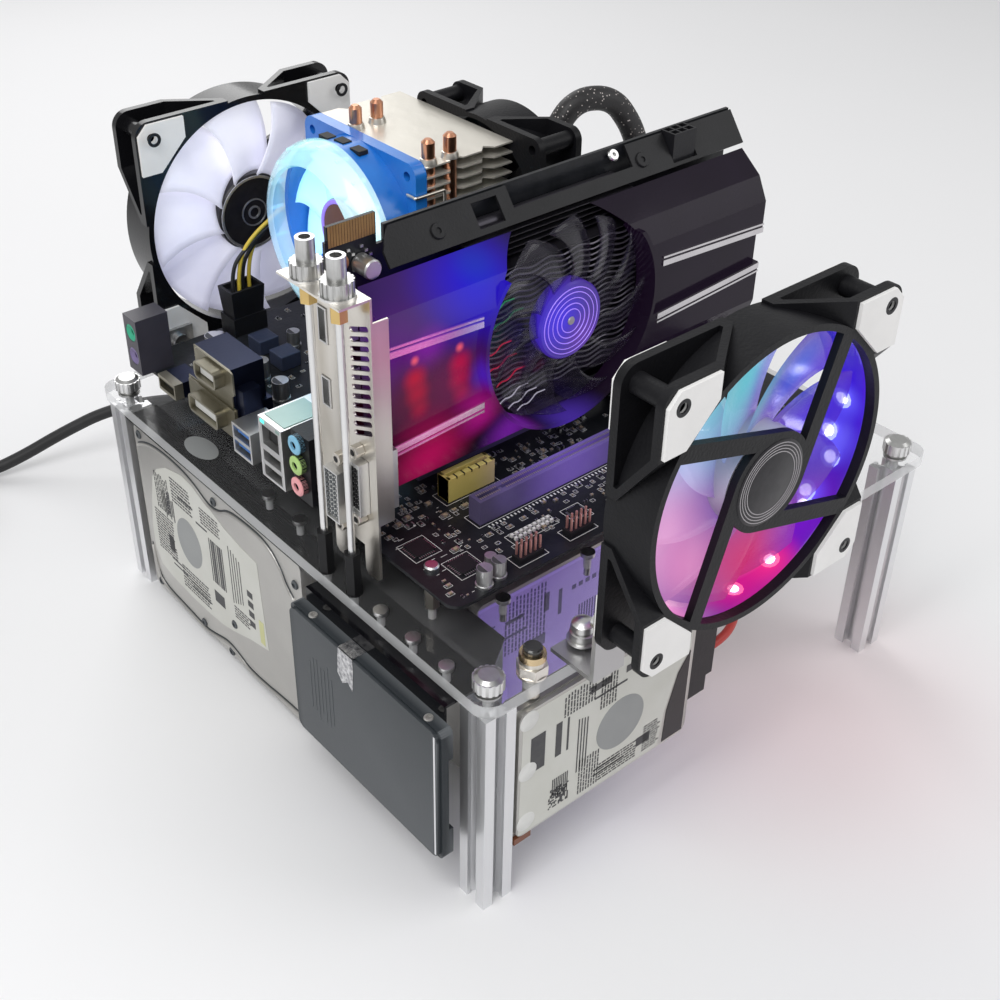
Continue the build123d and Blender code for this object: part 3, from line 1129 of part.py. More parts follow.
with BuildPart() as support_rods:
    with BuildSketch(level(spacer_top)) as rods:
        with Locations(*rod_places):
            Circle(ROD_RADIUS)
    extrude(to_extrude=rods.sketch, amount=ROD_TOP - spacer_top)
save(support_rods, "support_rods")

with BuildPart() as brass_nuts:
    with BuildSketch(level(tab_under - BRASS_HEIGHT)) as brass:
        with Locations(*rod_places):
            RegularPolygon(SPACER_ACROSS / 2, 6, major_radius=False)
            Circle(ROD_RADIUS + 0.05, mode=Mode.SUBTRACT)
    extrude(to_extrude=brass.sketch, amount=BRASS_HEIGHT)
save(brass_nuts, "brass_nuts")

with BuildPart(level(BRACKET_TOP)) as thumb_nuts:
    with Locations(*rod_places):
        Cylinder(6.8, 1.0, align=BASE)
        with Locations((0, 0, 1.0)):
            knurled_disc(6.2, 5.5)
        with Locations((0, 0, 6.5)):
            Cylinder(3.6, 9.0, align=BASE)
        with Locations((0, 0, 12.0)):
            Cylinder(2.2, 4.0, align=BASE, mode=Mode.SUBTRACT)
        Cylinder(ROD_RADIUS + 0.05, 14.0, align=BASE, mode=Mode.SUBTRACT)
save(thumb_nuts, "thumb_nuts")


# Drives: plane.z points out of the label side; local x runs along the drive, local y runs up
def make_drive(plane, size, holes):
    """A cast body with an inset cover, a connector notch and screw holes in its upper side."""
    length, height, thickness = size
    lid = thickness * 0.22
    with BuildPart(plane) as drive:
        with BuildSketch(plane) as body:
            with Locations((length / 2, height / 2)):
                RectangleRounded(length, height, 2.5)
        extrude(to_extrude=body.sketch, amount=thickness - lid)
        with BuildSketch(plane.offset(thickness - lid)) as cover:
            with Locations((length / 2, height / 2)):
                RectangleRounded(length - 2.0, height - 1.6, 4.0)
        extrude(to_extrude=cover.sketch, amount=lid)
        with BuildSketch(plane) as notch:
            with Locations((length - 2.0, height * 0.5)):
                Rectangle(8.0, height * 0.55)
        extrude(to_extrude=notch.sketch, amount=thickness * 0.3, mode=Mode.SUBTRACT)
        for place in holes:
            with BuildSketch(level(LEG_HEIGHT)) as hole:
                with Locations(place):
                    Circle(SCREW_RADIUS + 0.1)
            extrude(to_extrude=hole.sketch, amount=-SCREW_REACH, mode=Mode.SUBTRACT)
    return drive


outer_plane = Plane(origin=from_leg(OUTER_DRIVE_X + LARGE_DRIVE[2], OUTER_DRIVE_Y + LARGE_DRIVE[0],
                                    LEG_HEIGHT - SHEET - LARGE_DRIVE[1]), x_dir=(0, -1, 0), z_dir=(-1, 0, 0))
outer_drive = make_drive(outer_plane, LARGE_DRIVE, OUTER_SCREWS)
inner_plane = Plane(origin=from_leg(INNER_DRIVE_X, INNER_DRIVE_Y + LARGE_DRIVE[2], LEG_HEIGHT - LARGE_DRIVE[1]),
                    x_dir=(1, 0, 0), z_dir=(0, -1, 0))
inner_drive = make_drive(inner_plane, LARGE_DRIVE, INNER_SCREWS)
with BuildPart() as hard_drives:
    add(outer_drive.part)
    add(inner_drive.part)
save(hard_drives, "hard_drives")

solid_plane = Plane(origin=from_leg(SOLID_DRIVE_X, SOLID_DRIVE_Y + SOLID_DRIVE[0], SOLID_DRIVE_Z),
                    x_dir=(0, -1, 0), z_dir=(-1, 0, 0))
solid_state_drive = make_drive(solid_plane, SOLID_DRIVE, [])
save(solid_state_drive, "solid_state_drive")

small_plane = Plane(origin=from_leg(SMALL_DRIVE_X, SMALL_DRIVE_Y, SMALL_DRIVE_Z), x_dir=(1, 0, 0),
                    z_dir=(0, -1, 0))
small_hard_drive = make_drive(small_plane, SMALL_DRIVE, [])
save(small_hard_drive, "small_hard_drive")

# Sheet brackets: a black band under the deck's port side with a wall behind the solid state drive, and a
# wall behind the small drive with a flange under the deck
band_end = LEG_SPAN_Y - LEG_SIDE / 2 - LEG_CLEARANCE
with BuildPart() as drive_brackets:
    span_box(SOLID_DRIVE_X, SOLID_DRIVE_X + SHEET, *SOLID_WALL, BRACKET_LOW, LEG_HEIGHT)
    span_box(SOLID_DRIVE_X, BAND_SHEET[1], *SOLID_WALL, LEG_HEIGHT - SHEET, LEG_HEIGHT)
    span_box(*BAND_SHEET, SOLID_WALL[0], band_end, LEG_HEIGHT - SHEET, LEG_HEIGHT)
    span_box(*SMALL_WALL, SMALL_DRIVE_Y, SMALL_DRIVE_Y + SHEET, BRACKET_LOW, LEG_HEIGHT)
    span_box(*SMALL_WALL, SMALL_DRIVE_Y, SMALL_FLANGE, LEG_HEIGHT - SHEET, LEG_HEIGHT)
    with Locations(*[from_leg(x, y, LEG_HEIGHT) for x, y in SOLID_SCREWS + SMALL_SCREWS + OUTER_SCREWS]):
        Cylinder(SCREW_RADIUS + 0.1, 10.0, mode=Mode.SUBTRACT)
save(drive_brackets, "drive_brackets")

# Power supply: a folded case with a fan grille above, an inlet behind and a round cable outlet in front
supply_middle = (SUPPLY_X + SUPPLY[0] / 2, SUPPLY_Y + SUPPLY[1] / 2)
INLET_MOUTH = (28.0, 20.0)
with BuildPart() as power_supply:
    with BuildSketch(level(0)) as case:
        with Locations(supply_middle):
            RectangleRounded(SUPPLY[0], SUPPLY[1], 1.5)
    extrude(to_extrude=case.sketch, amount=SUPPLY[2])
    with BuildSketch(level(SUPPLY[2])) as grille:
        with Locations(supply_middle):
            for radius in (18.0, 28.0, 38.0, 48.0, 58.0):
                Circle(radius)
                Circle(radius - 7.0, mode=Mode.SUBTRACT)
            Rectangle(120, 3, mode=Mode.SUBTRACT)
            Rectangle(3, 120, mode=Mode.SUBTRACT)
    extrude(to_extrude=grille.sketch, amount=-3.0, mode=Mode.SUBTRACT)
    with BuildSketch(facing_front(SUPPLY_Y + SUPPLY[1])) as inlet:
        with Locations(INLET):
            Rectangle(*INLET_MOUTH)
        with Locations((INLET[0] + 32, INLET[1])):
            Rectangle(14.0, 20.0)
    extrude(to_extrude=inlet.sketch, amount=6.0, mode=Mode.SUBTRACT)
    with BuildSketch(facing_front(SUPPLY_Y)) as outlet:
        with Locations(OUTLET):
            Rectangle(32.0, 48.0)
    extrude(to_extrude=outlet.sketch, amount=-4.0, mode=Mode.SUBTRACT)
save(power_supply, "power_supply")

# Push button: a threaded body through the deck with a hex nut, and a cap that travels down into it
NUT_LOW = DECK_TOP + 1.0
NUT_HIGH = NUT_LOW + 4.5
CAP_FLOOR = NUT_HIGH + 1.5
COLLAR_TOP = CAP_FLOOR + 3.5
CAP_TOP = COLLAR_TOP + 3.0
with BuildPart(level(LEG_HEIGHT, BUTTON_X, BUTTON_Y)) as button_body:
    with Locations((0, 0, -4.5)):
        Cylinder(BUTTON_SHANK, NUT_HIGH - LEG_HEIGHT + 4.5, align=BASE)
    with Locations((0, 0, NUT_HIGH - LEG_HEIGHT)):
        Cylinder(BUTTON_CAP + 1.4, COLLAR_TOP - NUT_HIGH, align=BASE)
    chamfer(faces().filter_by(Axis.Z).sort_by(Axis.Z)[-1].edges(), 0.7)
    with Locations((0, 0, CAP_FLOOR - LEG_HEIGHT)):
        Cylinder(BUTTON_CAP + BUTTON_FIT, COLLAR_TOP - CAP_FLOOR, align=BASE, mode=Mode.SUBTRACT)
    Cylinder(SHAFT_RADIUS + SHAFT_FIT, CAP_FLOOR - LEG_HEIGHT, align=BASE, mode=Mode.SUBTRACT)
save(button_body, "button_body")

with BuildPart(level(DECK_TOP, BUTTON_X, BUTTON_Y)) as button_nut:
    Cylinder(6.0, 1.0, align=BASE)
    with BuildSketch(level(NUT_LOW, BUTTON_X, BUTTON_Y)) as nut:
        RegularPolygon(BUTTON_NUT_ACROSS / 2, 6, major_radius=False)
    extrude(to_extrude=nut.sketch, amount=NUT_HIGH - NUT_LOW)
    Cylinder(BUTTON_SHANK + 0.05, 10.0, align=BASE, mode=Mode.SUBTRACT)
save(button_nut, "button_nut")

with BuildPart(level(CAP_FLOOR + BUTTON_TRAVEL, BUTTON_X, BUTTON_Y)) as button_cap:
    Cylinder(BUTTON_CAP, CAP_TOP - CAP_FLOOR - BUTTON_TRAVEL, align=BASE)
    chamfer(faces().filter_by(Axis.Z).sort_by(Axis.Z)[-1].edges(), 0.6)
    with Locations((0, 0, -6.0)):
        Cylinder(SHAFT_RADIUS, 6.0, align=BASE)
save(button_cap, "button_cap")

# Main power lead: a thick sleeved loop from its plug, over the deck's right edge, down to the supply
plug_top = BOARD_TOP + PLUG_TOP
main_start = (BOARD_X + MAIN_PLUG[0], BOARD_Y + MAIN_PLUG[1], plug_top)
MAIN_ROUTE = [
    main_start, (223.0, 221.0, 176.0), (225.5, 220.5, 199.0), (240.0, 216.5, 221.0), (262.0, 211.0, 219.0),
    (276.0, 207.0, 199.0), (281.0, 202.0, 168.0), (281.0, 195.0, 130.0), (277.0, 183.0, 95.0),
    (266.0, 161.0, 68.0), (248.0, 132.0, 53.0), (240.0, 108.0, 47.0), (226.0, 89.0, 45.0), (209.0, 78.0, 45.0),
    (195.0, 83.0, 45.0), (195.0, 103.7, 45.0),
]
main_cable = tube([from_leg(*p) for p in MAIN_ROUTE], MAIN_CABLE, "main_cable")
save(main_cable, "main_cable")

# CPU power lead: four wires from the plug gathered into a sleeve
GATHER = (104.0, 262.0, 191.0)
SLEEVE_ROUTE = [
    GATHER, (130.0, 262.0, 195.0), (165.0, 261.0, 196.0), (200.0, 257.0, 191.0), (232.0, 249.0, 178.0),
    (262.0, 238.0, 158.0), (281.0, 228.0, 130.0), (282.0, 218.0, 100.0), (272.0, 200.0, 73.0),
    (257.0, 170.0, 50.0), (247.0, 140.0, 37.0), (238.0, 112.0, 31.0), (224.0, 92.0, 29.0), (207.0, 81.0, 29.0),
    (194.0, 86.0, 29.0), (194.0, 103.7, 29.0),
]
sleeve = tube([from_leg(*p) for p in SLEEVE_ROUTE], CPU_CABLE, "cpu_sleeve")

wire_tops = [(-1.2, -1.2), (-1.2, 1.2), (1.2, -1.2), (1.2, 1.2)]
wire_parts = []
gather_slope = (SLEEVE_ROUTE[1][2] - GATHER[2]) / (SLEEVE_ROUTE[1][0] - GATHER[0])
for i, (dy, dz) in enumerate(wire_tops):
    foot_x = BOARD_X + CPU_PLUG[0] - 5.4 + 3.6 * i
    foot_y = BOARD_Y + CPU_PLUG[1] + dy
    wire_route = [(foot_x, foot_y, plug_top - 3.0), (foot_x, foot_y, plug_top + 8.0),
                  (foot_x + 6.0, foot_y - 0.3, plug_top + 20.0 + 2 * dz),
                  (GATHER[0] - 14.0, GATHER[1] + dy, GATHER[2] - 14.0 * gather_slope + dz),
                  (GATHER[0] - 0.6, GATHER[1] + dy, GATHER[2] - 0.6 * gather_slope + dz)]
    wire_parts.append(tube([from_leg(*p) for p in wire_route], CPU_WIRE, f"cpu_wire_{i}"))

# Power lead of the small drive
LEAD_ROUTE = [
    (drive_end + 17.0, SMALL_DRIVE_Y - 4.0, DRIVE_PLUG_Z), (135.0, SMALL_DRIVE_Y - 4.0, DRIVE_PLUG_Z),
    (150.0, 5.0, 64.0),
    (166.0, 18.0, 61.0), (182.0, 35.0, 59.0), (191.0, 56.0, 58.0), (188.0, 80.0, 60.0), (188.0, 103.7, 60.0),
]
drive_lead = tube([from_leg(*p) for p in LEAD_ROUTE], DRIVE_LEAD, "drive_lead")
with BuildPart() as supply_leads:
    add(sleeve.part)
    add(drive_lead.part)
    for wire in wire_parts:
        add(wire.part)
save(supply_leads, "supply_leads")

# Mains lead: a moulded connector in the inlet, the lead down to the floor, its coil and its plug
CONNECTOR_END = SUPPLY_Y + SUPPLY[1] + 32.0
RELIEF_END = CONNECTOR_END + 30.0
with BuildPart() as mains_connector:
    with BuildSketch(facing_front(CONNECTOR_END)) as connector_body:
        with Locations(INLET):
            RectangleRounded(INLET_MOUTH[0] - 1.0, INLET_MOUTH[1] - 1.0, 4)
    extrude(to_extrude=connector_body.sketch, amount=32.0 + 5.0)
    relief_plane = Plane(origin=from_leg(INLET[0], CONNECTOR_END, INLET[1]), z_dir=(0, 1, 0))
    with BuildSketch(relief_plane) as relief_wide:
        Circle(7.0)
    with BuildSketch(relief_plane.offset(RELIEF_END - CONNECTOR_END)) as relief_slim:
        Circle(MAINS_DIAMETER / 2 + 0.8)
    loft(sections=[relief_wide.sketch, relief_slim.sketch])
save(mains_connector, "mains_connector")

coil_width = COIL_TURNS_WIDE * MAINS_DIAMETER
coil_height = COIL_LAYERS * MAINS_DIAMETER
with BuildPart(level(0, *COIL_CENTRE)) as mains_coil:
    Cylinder(COIL_MEAN_RADIUS + coil_width / 2, coil_height, align=BASE)
    Cylinder(COIL_MEAN_RADIUS - coil_width / 2, coil_height, align=BASE, mode=Mode.SUBTRACT)
save(mains_coil, "mains_coil")

MAINS_ROUTE = [
    (INLET[0], RELIEF_END, INLET[1]), (INLET[0], 332.0, INLET[1]), (66.0, 361.0, 41.0), (35.0, 383.0, 35.0),
    (8.0, 396.5, 22.0), (-14.0, 405.0, 11.0), (-34.0, 411.5, 4.6), (-58.5, 424.5, 3.5),
]
mains_tail_x = COIL_CENTRE[0] - COIL_MEAN_RADIUS - MAINS_DIAMETER
PLUG_AXIS = 11.0
PLUG_BACK = 352.0
TAIL_ROUTE = [
    (mains_tail_x, COIL_CENTRE[1] - 14.0, PLUG_AXIS), (mains_tail_x - 0.6, COIL_CENTRE[1] - 28.0, PLUG_AXIS),
    (mains_tail_x, PLUG_BACK + 0.2, PLUG_AXIS),
]
lead_run = tube([from_leg(*p) for p in MAINS_ROUTE], MAINS_DIAMETER, "mains_lead")
lead_tail = tube([from_leg(*p) for p in TAIL_ROUTE], MAINS_DIAMETER, "mains_tail")
with BuildPart() as mains_cord:
    add(lead_run.part)
    add(lead_tail.part)
save(mains_cord, "mains_cord")

PLUG_BODY = (26.0, 34.0, 22.0)
PLUG_RELIEF = 20.0
PIN_RADIUS = 2.4
PIN_LENGTH = 19.0
plug_front = PLUG_BACK - PLUG_RELIEF - PLUG_BODY[1]
with BuildPart() as mains_plug:
    with BuildSketch(facing_front(PLUG_BACK - PLUG_RELIEF)) as plug_outline:
        with Locations((mains_tail_x, PLUG_AXIS)):
            RectangleRounded(PLUG_BODY[0], PLUG_BODY[2], 6)
    extrude(to_extrude=plug_outline.sketch, amount=PLUG_BODY[1])
    plug_relief_origin = from_leg(mains_tail_x, PLUG_BACK - PLUG_RELIEF, PLUG_AXIS)
    plug_relief_plane = Plane(origin=plug_relief_origin, z_dir=(0, 1, 0))
    with BuildSketch(plug_relief_plane) as plug_wide:
        Circle(7.5)
    with BuildSketch(plug_relief_plane.offset(PLUG_RELIEF)) as plug_slim:
        Circle(MAINS_DIAMETER / 2 + 0.8)
    loft(sections=[plug_wide.sketch, plug_slim.sketch])
    with BuildSketch(facing_front(plug_front)) as pins:
        with Locations((mains_tail_x - 9.5, PLUG_AXIS), (mains_tail_x + 9.5, PLUG_AXIS)):
            Circle(PIN_RADIUS)
    extrude(to_extrude=pins.sketch, amount=PIN_LENGTH)
save(mains_plug, "mains_plug")
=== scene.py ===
import math
import random

import bmesh
import bpy
from mathutils import Matrix, Vector


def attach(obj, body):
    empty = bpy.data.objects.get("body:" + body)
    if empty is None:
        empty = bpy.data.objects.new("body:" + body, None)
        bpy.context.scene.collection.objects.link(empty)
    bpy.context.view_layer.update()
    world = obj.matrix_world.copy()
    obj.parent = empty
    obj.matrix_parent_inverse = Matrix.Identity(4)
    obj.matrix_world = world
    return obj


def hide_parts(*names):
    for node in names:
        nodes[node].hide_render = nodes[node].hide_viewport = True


# The looks of the test bench. Sizes are metres in the row frame. Places are written in millimetres from
# the foot of the front leg, as in the solid model, and at() turns them into the row frame.

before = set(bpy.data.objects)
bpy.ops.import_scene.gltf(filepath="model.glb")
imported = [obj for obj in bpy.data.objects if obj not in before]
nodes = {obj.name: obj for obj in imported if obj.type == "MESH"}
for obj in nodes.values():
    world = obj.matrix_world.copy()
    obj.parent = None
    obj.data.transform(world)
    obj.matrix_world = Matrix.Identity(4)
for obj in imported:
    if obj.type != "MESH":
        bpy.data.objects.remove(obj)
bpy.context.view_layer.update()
chance = random.Random(7)

MM = 0.001
LEG_SPAN_X = 245.6
LEG_SPAN_Y = 273.4
DECK_TOP = 112
BOARD_TOP = 131
BOARD_X = 5.5
BOARD_Y = 26.4

# Local x and z directions of pieces that face up, the front, and the port side with x to the back or front
UPWARD = ((1, 0, 0), (0, 0, 1))
FRONTWARD = ((1, 0, 0), (0, -1, 0))
PORTWARD = ((0, 1, 0), (-1, 0, 0))
SIDEWARD = ((0, -1, 0), (-1, 0, 0))


def at(x, y, z=0):
    """A point measured from the foot of the front leg, in millimetres."""
    return Vector(((x - LEG_SPAN_X / 2) * MM, (y - LEG_SPAN_Y / 2) * MM, z * MM))


def on_board(x, y, z=0):
    """A point measured from the board's front corner and top face, in millimetres."""
    return at(BOARD_X + x, BOARD_Y + y, BOARD_TOP + z)


def spot(node, x, y, z):
    """A place measured from the front leg, in the frame of a CAD node, or in the row frame without one."""
    place = at(x, y, z)
    return nodes[node].matrix_world.inverted() @ place if node else place


# Shader helpers
def feed(tree, node, inputs):
    """Fills the inputs of a shader node: sockets are linked, and other values are set."""
    for key, value in inputs.items():
        if isinstance(value, bpy.types.NodeSocket):
            tree.links.new(value, node.inputs[key])
        else:
            node.inputs[key].default_value = value


def shader_node(tree, kind, inputs, **settings):
    """Adds a shader node with its settings and inputs."""
    made = tree.nodes.new("ShaderNode" + kind)
    for key, value in settings.items():
        setattr(made, key, value)
    feed(tree, made, inputs)
    return made


def own_place(tree):
    """The place of a point in the piece's own frame."""
    return shader_node(tree, "TexCoord", {}).outputs["Object"]


def own_axis(tree, axis):
    """One coordinate of a point in the piece's own frame."""
    return shader_node(tree, "SeparateXYZ", {"Vector": own_place(tree)}).outputs[axis]


def ranged(tree, value, start, end, low, high, kind="LINEAR"):
    """Maps a value from one range onto another."""
    ends = {"From Min": start, "From Max": end, "To Min": low, "To Max": high}
    return shader_node(tree, "MapRange", {"Value": value, **ends}, interpolation_type=kind).outputs["Result"]


def mixed(tree, amount, under, over):
    """A mix of two colours, each a socket or three numbers."""
    under, over = [c if isinstance(c, bpy.types.NodeSocket) else (*c, 1) for c in (under, over)]
    inputs = {"Factor": amount, "A": under, "B": over}
    return shader_node(tree, "Mix", inputs, data_type="RGBA").outputs["Result"]


def faded(tree, centre, radius, most=1):
    """An amount that falls softly from a centre to nothing at a radius."""
    away = shader_node(tree, "VectorMath", {0: own_place(tree), 1: centre}, operation="DISTANCE")
    return ranged(tree, away.outputs["Value"], 0, radius, most, 0, "SMOOTHSTEP")


def shader_of(material):
    """The main shader of a material."""
    return material.node_tree.nodes["Principled BSDF"]


def tint(material, amount, color):
    """Lays another colour over a material's own."""
    base = shader_of(material).inputs["Base Color"]
    tree = material.node_tree
    tree.links.new(mixed(tree, amount, base.links[0].from_socket, color), base)


def look(name, color, roughness=0.45, metallic=0, second=None, patch=60, mix=0.35, bump=0,
         grain=600, stretch=(1, 1, 1), coat=0, alpha=1, glow=None, strength=0, wear=None,
         shine=0.5):
    """A procedural material: a varied colour, grain with its own bump, and worn edges where asked."""
    material = bpy.data.materials.new(name)
    material.use_nodes = True
    tree = material.node_tree
    place = shader_node(tree, "Mapping", {"Vector": own_place(tree), "Scale": stretch}).outputs["Vector"]
    noise = shader_node(tree, "TexNoise", {"Vector": place, "Scale": patch, "Detail": 5})
    amount = ranged(tree, noise.outputs["Fac"], 0.35, 0.65, 0, mix)
    last = mixed(tree, amount, color, second or tuple(0.75 * c for c in color))
    if wear:
        edge = shader_node(tree, "NewGeometry", {}).outputs["Pointiness"]
        last = mixed(tree, ranged(tree, edge, 0.52, 0.6, 0, 0.7), last, wear)
    inputs = {"Base Color": last, "Roughness": roughness, "Metallic": metallic, "Alpha": alpha,
              "Specular IOR Level": shine, "Coat Weight": coat, "Coat Roughness": 0.08}
    if bump:
        fine = shader_node(tree, "TexNoise", {"Vector": place, "Scale": grain, "Detail": 3})
        height = {"Height": fine.outputs["Fac"], "Strength": bump, "Distance": 0.0003}
        inputs["Normal"] = shader_node(tree, "Bump", height).outputs["Normal"]
    if glow:
        inputs["Emission Color"] = (*glow, 1)
        inputs["Emission Strength"] = strength
    feed(tree, shader_of(material), inputs)
    return material


def lit_by(material, spots, strength=1, ground=(0, 0, 0), node=None):
    """Painted lamplight on a surface: soft glowing spots as (place, radius, colour), in millimetres."""
    tree = material.node_tree
    last = ground
    for place, radius, color in spots:
        last = mixed(tree, faded(tree, spot(node, *place), radius * MM), last, color)
    feed(tree, shader_of(material), {"Emission Color": last, "Emission Strength": strength})


def beyond(material, node, axis, limit, color):
    """Another colour on the part of a node that lies beyond a limit on one axis."""
    tree = material.node_tree
    edge = spot(node, limit, limit, limit)["XYZ".index(axis)]
    past = shader_node(tree, "Math", {0: own_axis(tree, axis), 1: edge}, operation="GREATER_THAN")
    tint(material, past.outputs["Value"], color)


# Metals
aluminium = look("satin_aluminium", (0.6, 0.61, 0.63), 0.34, 0.9, (0.48, 0.49, 0.51), 30, 0.4, 0.25, 900,
                 (1, 1, 0.04), wear=(0.85, 0.85, 0.86))
zinc = look("zinc_plate", (0.54, 0.54, 0.53), 0.3, 1, (0.38, 0.38, 0.37), 160, 0.5, 0.15, 900,
            wear=(0.9, 0.9, 0.9))
nickel = look("nickel_plate", (0.66, 0.62, 0.55), 0.3, 1, (0.52, 0.48, 0.42), 50, 0.5, 0.12, 700,
              wear=(0.86, 0.83, 0.78))
brass = look("satin_brass", (0.72, 0.52, 0.22), 0.32, 1, (0.55, 0.38, 0.14), 90, 0.5, 0.1, 800)
copper = look("copper_pipe", (0.72, 0.36, 0.22), 0.28, 1, (0.55, 0.25, 0.16), 90, 0.5, 0.1, 800)
tin = look("tin_plate", (0.62, 0.62, 0.62), 0.33, 0.95, (0.45, 0.45, 0.44), 70, 0.5, 0.1, 700,
           wear=(0.85, 0.85, 0.85))
olive_tin = look("olive_tin", (0.27, 0.25, 0.19), 0.34, 0.9, (0.18, 0.165, 0.12), 70, 0.5, 0.1, 700,
                 wear=(0.5, 0.47, 0.38))
dark_steel = look("dark_steel", (0.26, 0.26, 0.27), 0.35, 0.9, (0.18, 0.18, 0.19), 40, 0.5, 0.2, 900,
                  wear=(0.6, 0.6, 0.6))
black_metal = look("black_metal", (0.01, 0.01, 0.011), 0.42, 0.1, (0.018, 0.018, 0.02), 50, 0.5, 0.3, 900,
                   shine=0.25)
drive_lid = look("drive_lid", (0.42, 0.41, 0.39), 0.4, 0.75, (0.33, 0.32, 0.31), 40, 0.5, 0.3, 900,
                 wear=(0.7, 0.69, 0.66))
sink_look = look("dark_fins", (0.035, 0.033, 0.04), 0.3, 0.7, (0.06, 0.055, 0.07), 70, 0.5, 0.1, 900)
fin_sheet = look("fin_sheet", (0.56, 0.53, 0.46), 0.36, 0.55, (0.38, 0.355, 0.3), 28, 0.7, 0.5, 130,
                 wear=(0.8, 0.77, 0.7))

# Dark plastics, board, rubber and paint, and the painted shade of holes
black_plastic = look("black_plastic", (0.009, 0.009, 0.011), 0.42, 0, (0.017, 0.017, 0.02), 80, 0.5, 0.3,
                     900, shine=0.3)
frame_plastic = look("fan_frame_plastic", (0.006, 0.006, 0.0075), 0.44, 0, (0.012, 0.012, 0.014), 60, 0.5,
                     0.45, 800, shine=0.2)
gloss_black = look("gloss_black", (0.005, 0.005, 0.006), 0.2, 0, (0.009, 0.009, 0.011), 40, 0.5, 0.05, 900,
                   coat=0.2, shine=0.25)
board_black = look("board_laminate", (0.01, 0.011, 0.013), 0.3, 0, (0.02, 0.021, 0.025), 110, 0.7, 0.3,
                   500, coat=0.05, shine=0.2)
pad_white = look("pale_rubber", (0.88, 0.87, 0.86), 0.55, 0, (0.8, 0.79, 0.78), 60, 0.5, 0.2, 900)
drive_slate = look("drive_slate", (0.026, 0.031, 0.036), 0.5, 0, (0.034, 0.04, 0.046), 50, 0.5, 0.25, 900,
                   wear=(0.16, 0.17, 0.18), shine=0.25)
sheath = look("black_sheath", (0.012, 0.012, 0.013), 0.55, 0, (0.025, 0.025, 0.027), 100, 0.5, 0.25, 700)
# Painted shade that fills holes, slots and the inside of ports
painted_hole_shade = look("painted_hole_shade", (0.006, 0.006, 0.007), 0.6, 0, (0.012, 0.012, 0.013), 90, 0.5)
cap_look = look("button_black", (0.02, 0.02, 0.02), 0.25, 0, (0.035, 0.035, 0.035), 90, 0.5, coat=0.5)

# Prints and labels
white_print = look("white_print", (0.72, 0.72, 0.7), 0.5, 0, (0.6, 0.6, 0.58), 200, 0.5)
label_paper = look("pale_label", (0.62, 0.62, 0.58), 0.5, 0, (0.56, 0.56, 0.51), 50, 0.6, 0.1, 600)
ink = look("label_ink", (0.04, 0.04, 0.045), 0.5, 0, (0.07, 0.07, 0.07), 300, 0.5)
grey_label = look("label_grey", (0.3, 0.31, 0.31), 0.5, 0, (0.26, 0.27, 0.27), 60, 0.5)

# Coloured plastics and wires
slot_violet = look("slot_violet", (0.22, 0.18, 0.33), 0.4, 0, (0.16, 0.12, 0.27), 60, 0.5, 0.2, 700)
slot_yellow = look("slot_yellow", (0.72, 0.62, 0.2), 0.4, 0, (0.5, 0.4, 0.1), 60, 0.5, 0.2, 700)
port_violet = look("port_violet", (0.04, 0.037, 0.05), 0.4, 0, (0.06, 0.055, 0.07), 70, 0.5, 0.2, 700)
port_green = look("port_green", (0.04, 0.42, 0.25), 0.4, 0, (0.03, 0.34, 0.2), 70, 0.5)
port_blue = look("port_blue", (0.03, 0.16, 0.5), 0.4, 0, (0.02, 0.12, 0.4), 70, 0.5)
jack_blue = look("jack_blue", (0.22, 0.5, 0.7), 0.4, 0, (0.18, 0.42, 0.6), 70, 0.5)
jack_green = look("jack_green", (0.42, 0.62, 0.2), 0.4, 0, (0.35, 0.52, 0.16), 70, 0.5)
jack_pink = look("jack_pink", (0.85, 0.38, 0.4), 0.4, 0, (0.72, 0.3, 0.32), 70, 0.5)
socket_white = look("socket_white", (0.7, 0.7, 0.68), 0.45, 0, (0.6, 0.6, 0.58), 70, 0.5)
choke_navy = look("choke_navy", (0.035, 0.045, 0.085), 0.42, 0.2, (0.05, 0.06, 0.1), 120, 0.6, 0.3, 800)
blue_plastic = look("blue_plastic", (0.015, 0.17, 0.6), 0.28, 0, (0.02, 0.24, 0.75), 50, 0.6, 0.15, 700,
                    coat=0.3)
wire_yellow = look("wire_yellow", (0.75, 0.55, 0.06), 0.42, 0, (0.6, 0.42, 0.04), 120, 0.5, 0.1, 600)
wire_red = look("wire_red", (0.5, 0.03, 0.02), 0.42, 0, (0.38, 0.02, 0.02), 120, 0.5, 0.1, 600)

# Clear deck: thin on its faces, milky along its cut edges
deck_clear = look("deck_acrylic", (0.82, 0.83, 0.84), 0.12, 0, (0.738, 0.747, 0.756), 30, 0.3, shine=0.3)
deck_tree = deck_clear.node_tree
facing = shader_node(deck_tree, "NewGeometry", {}).outputs["Normal"]
rise = shader_node(deck_tree, "SeparateXYZ", {"Vector": facing}).outputs["Z"]
level = shader_node(deck_tree, "Math", {0: rise}, operation="ABSOLUTE").outputs["Value"]
feed(deck_tree, shader_of(deck_clear), {"Alpha": ranged(deck_tree, level, 0.3, 0.9, 0.5, 0.05)})

# Braided sleeve: black with small pale specks
braid = look("braided_sleeve", (0.012, 0.011, 0.012), 0.5, 0, (0.02, 0.018, 0.02), 300, 0.5, 0.6, 900)
cells = shader_node(braid.node_tree, "TexVoronoi", {"Vector": own_place(braid.node_tree), "Scale": 520})
specks = ranged(braid.node_tree, cells.outputs["Distance"], 0.22, 0.16, 0, 1)
tint(braid, specks, (0.55, 0.5, 0.48))

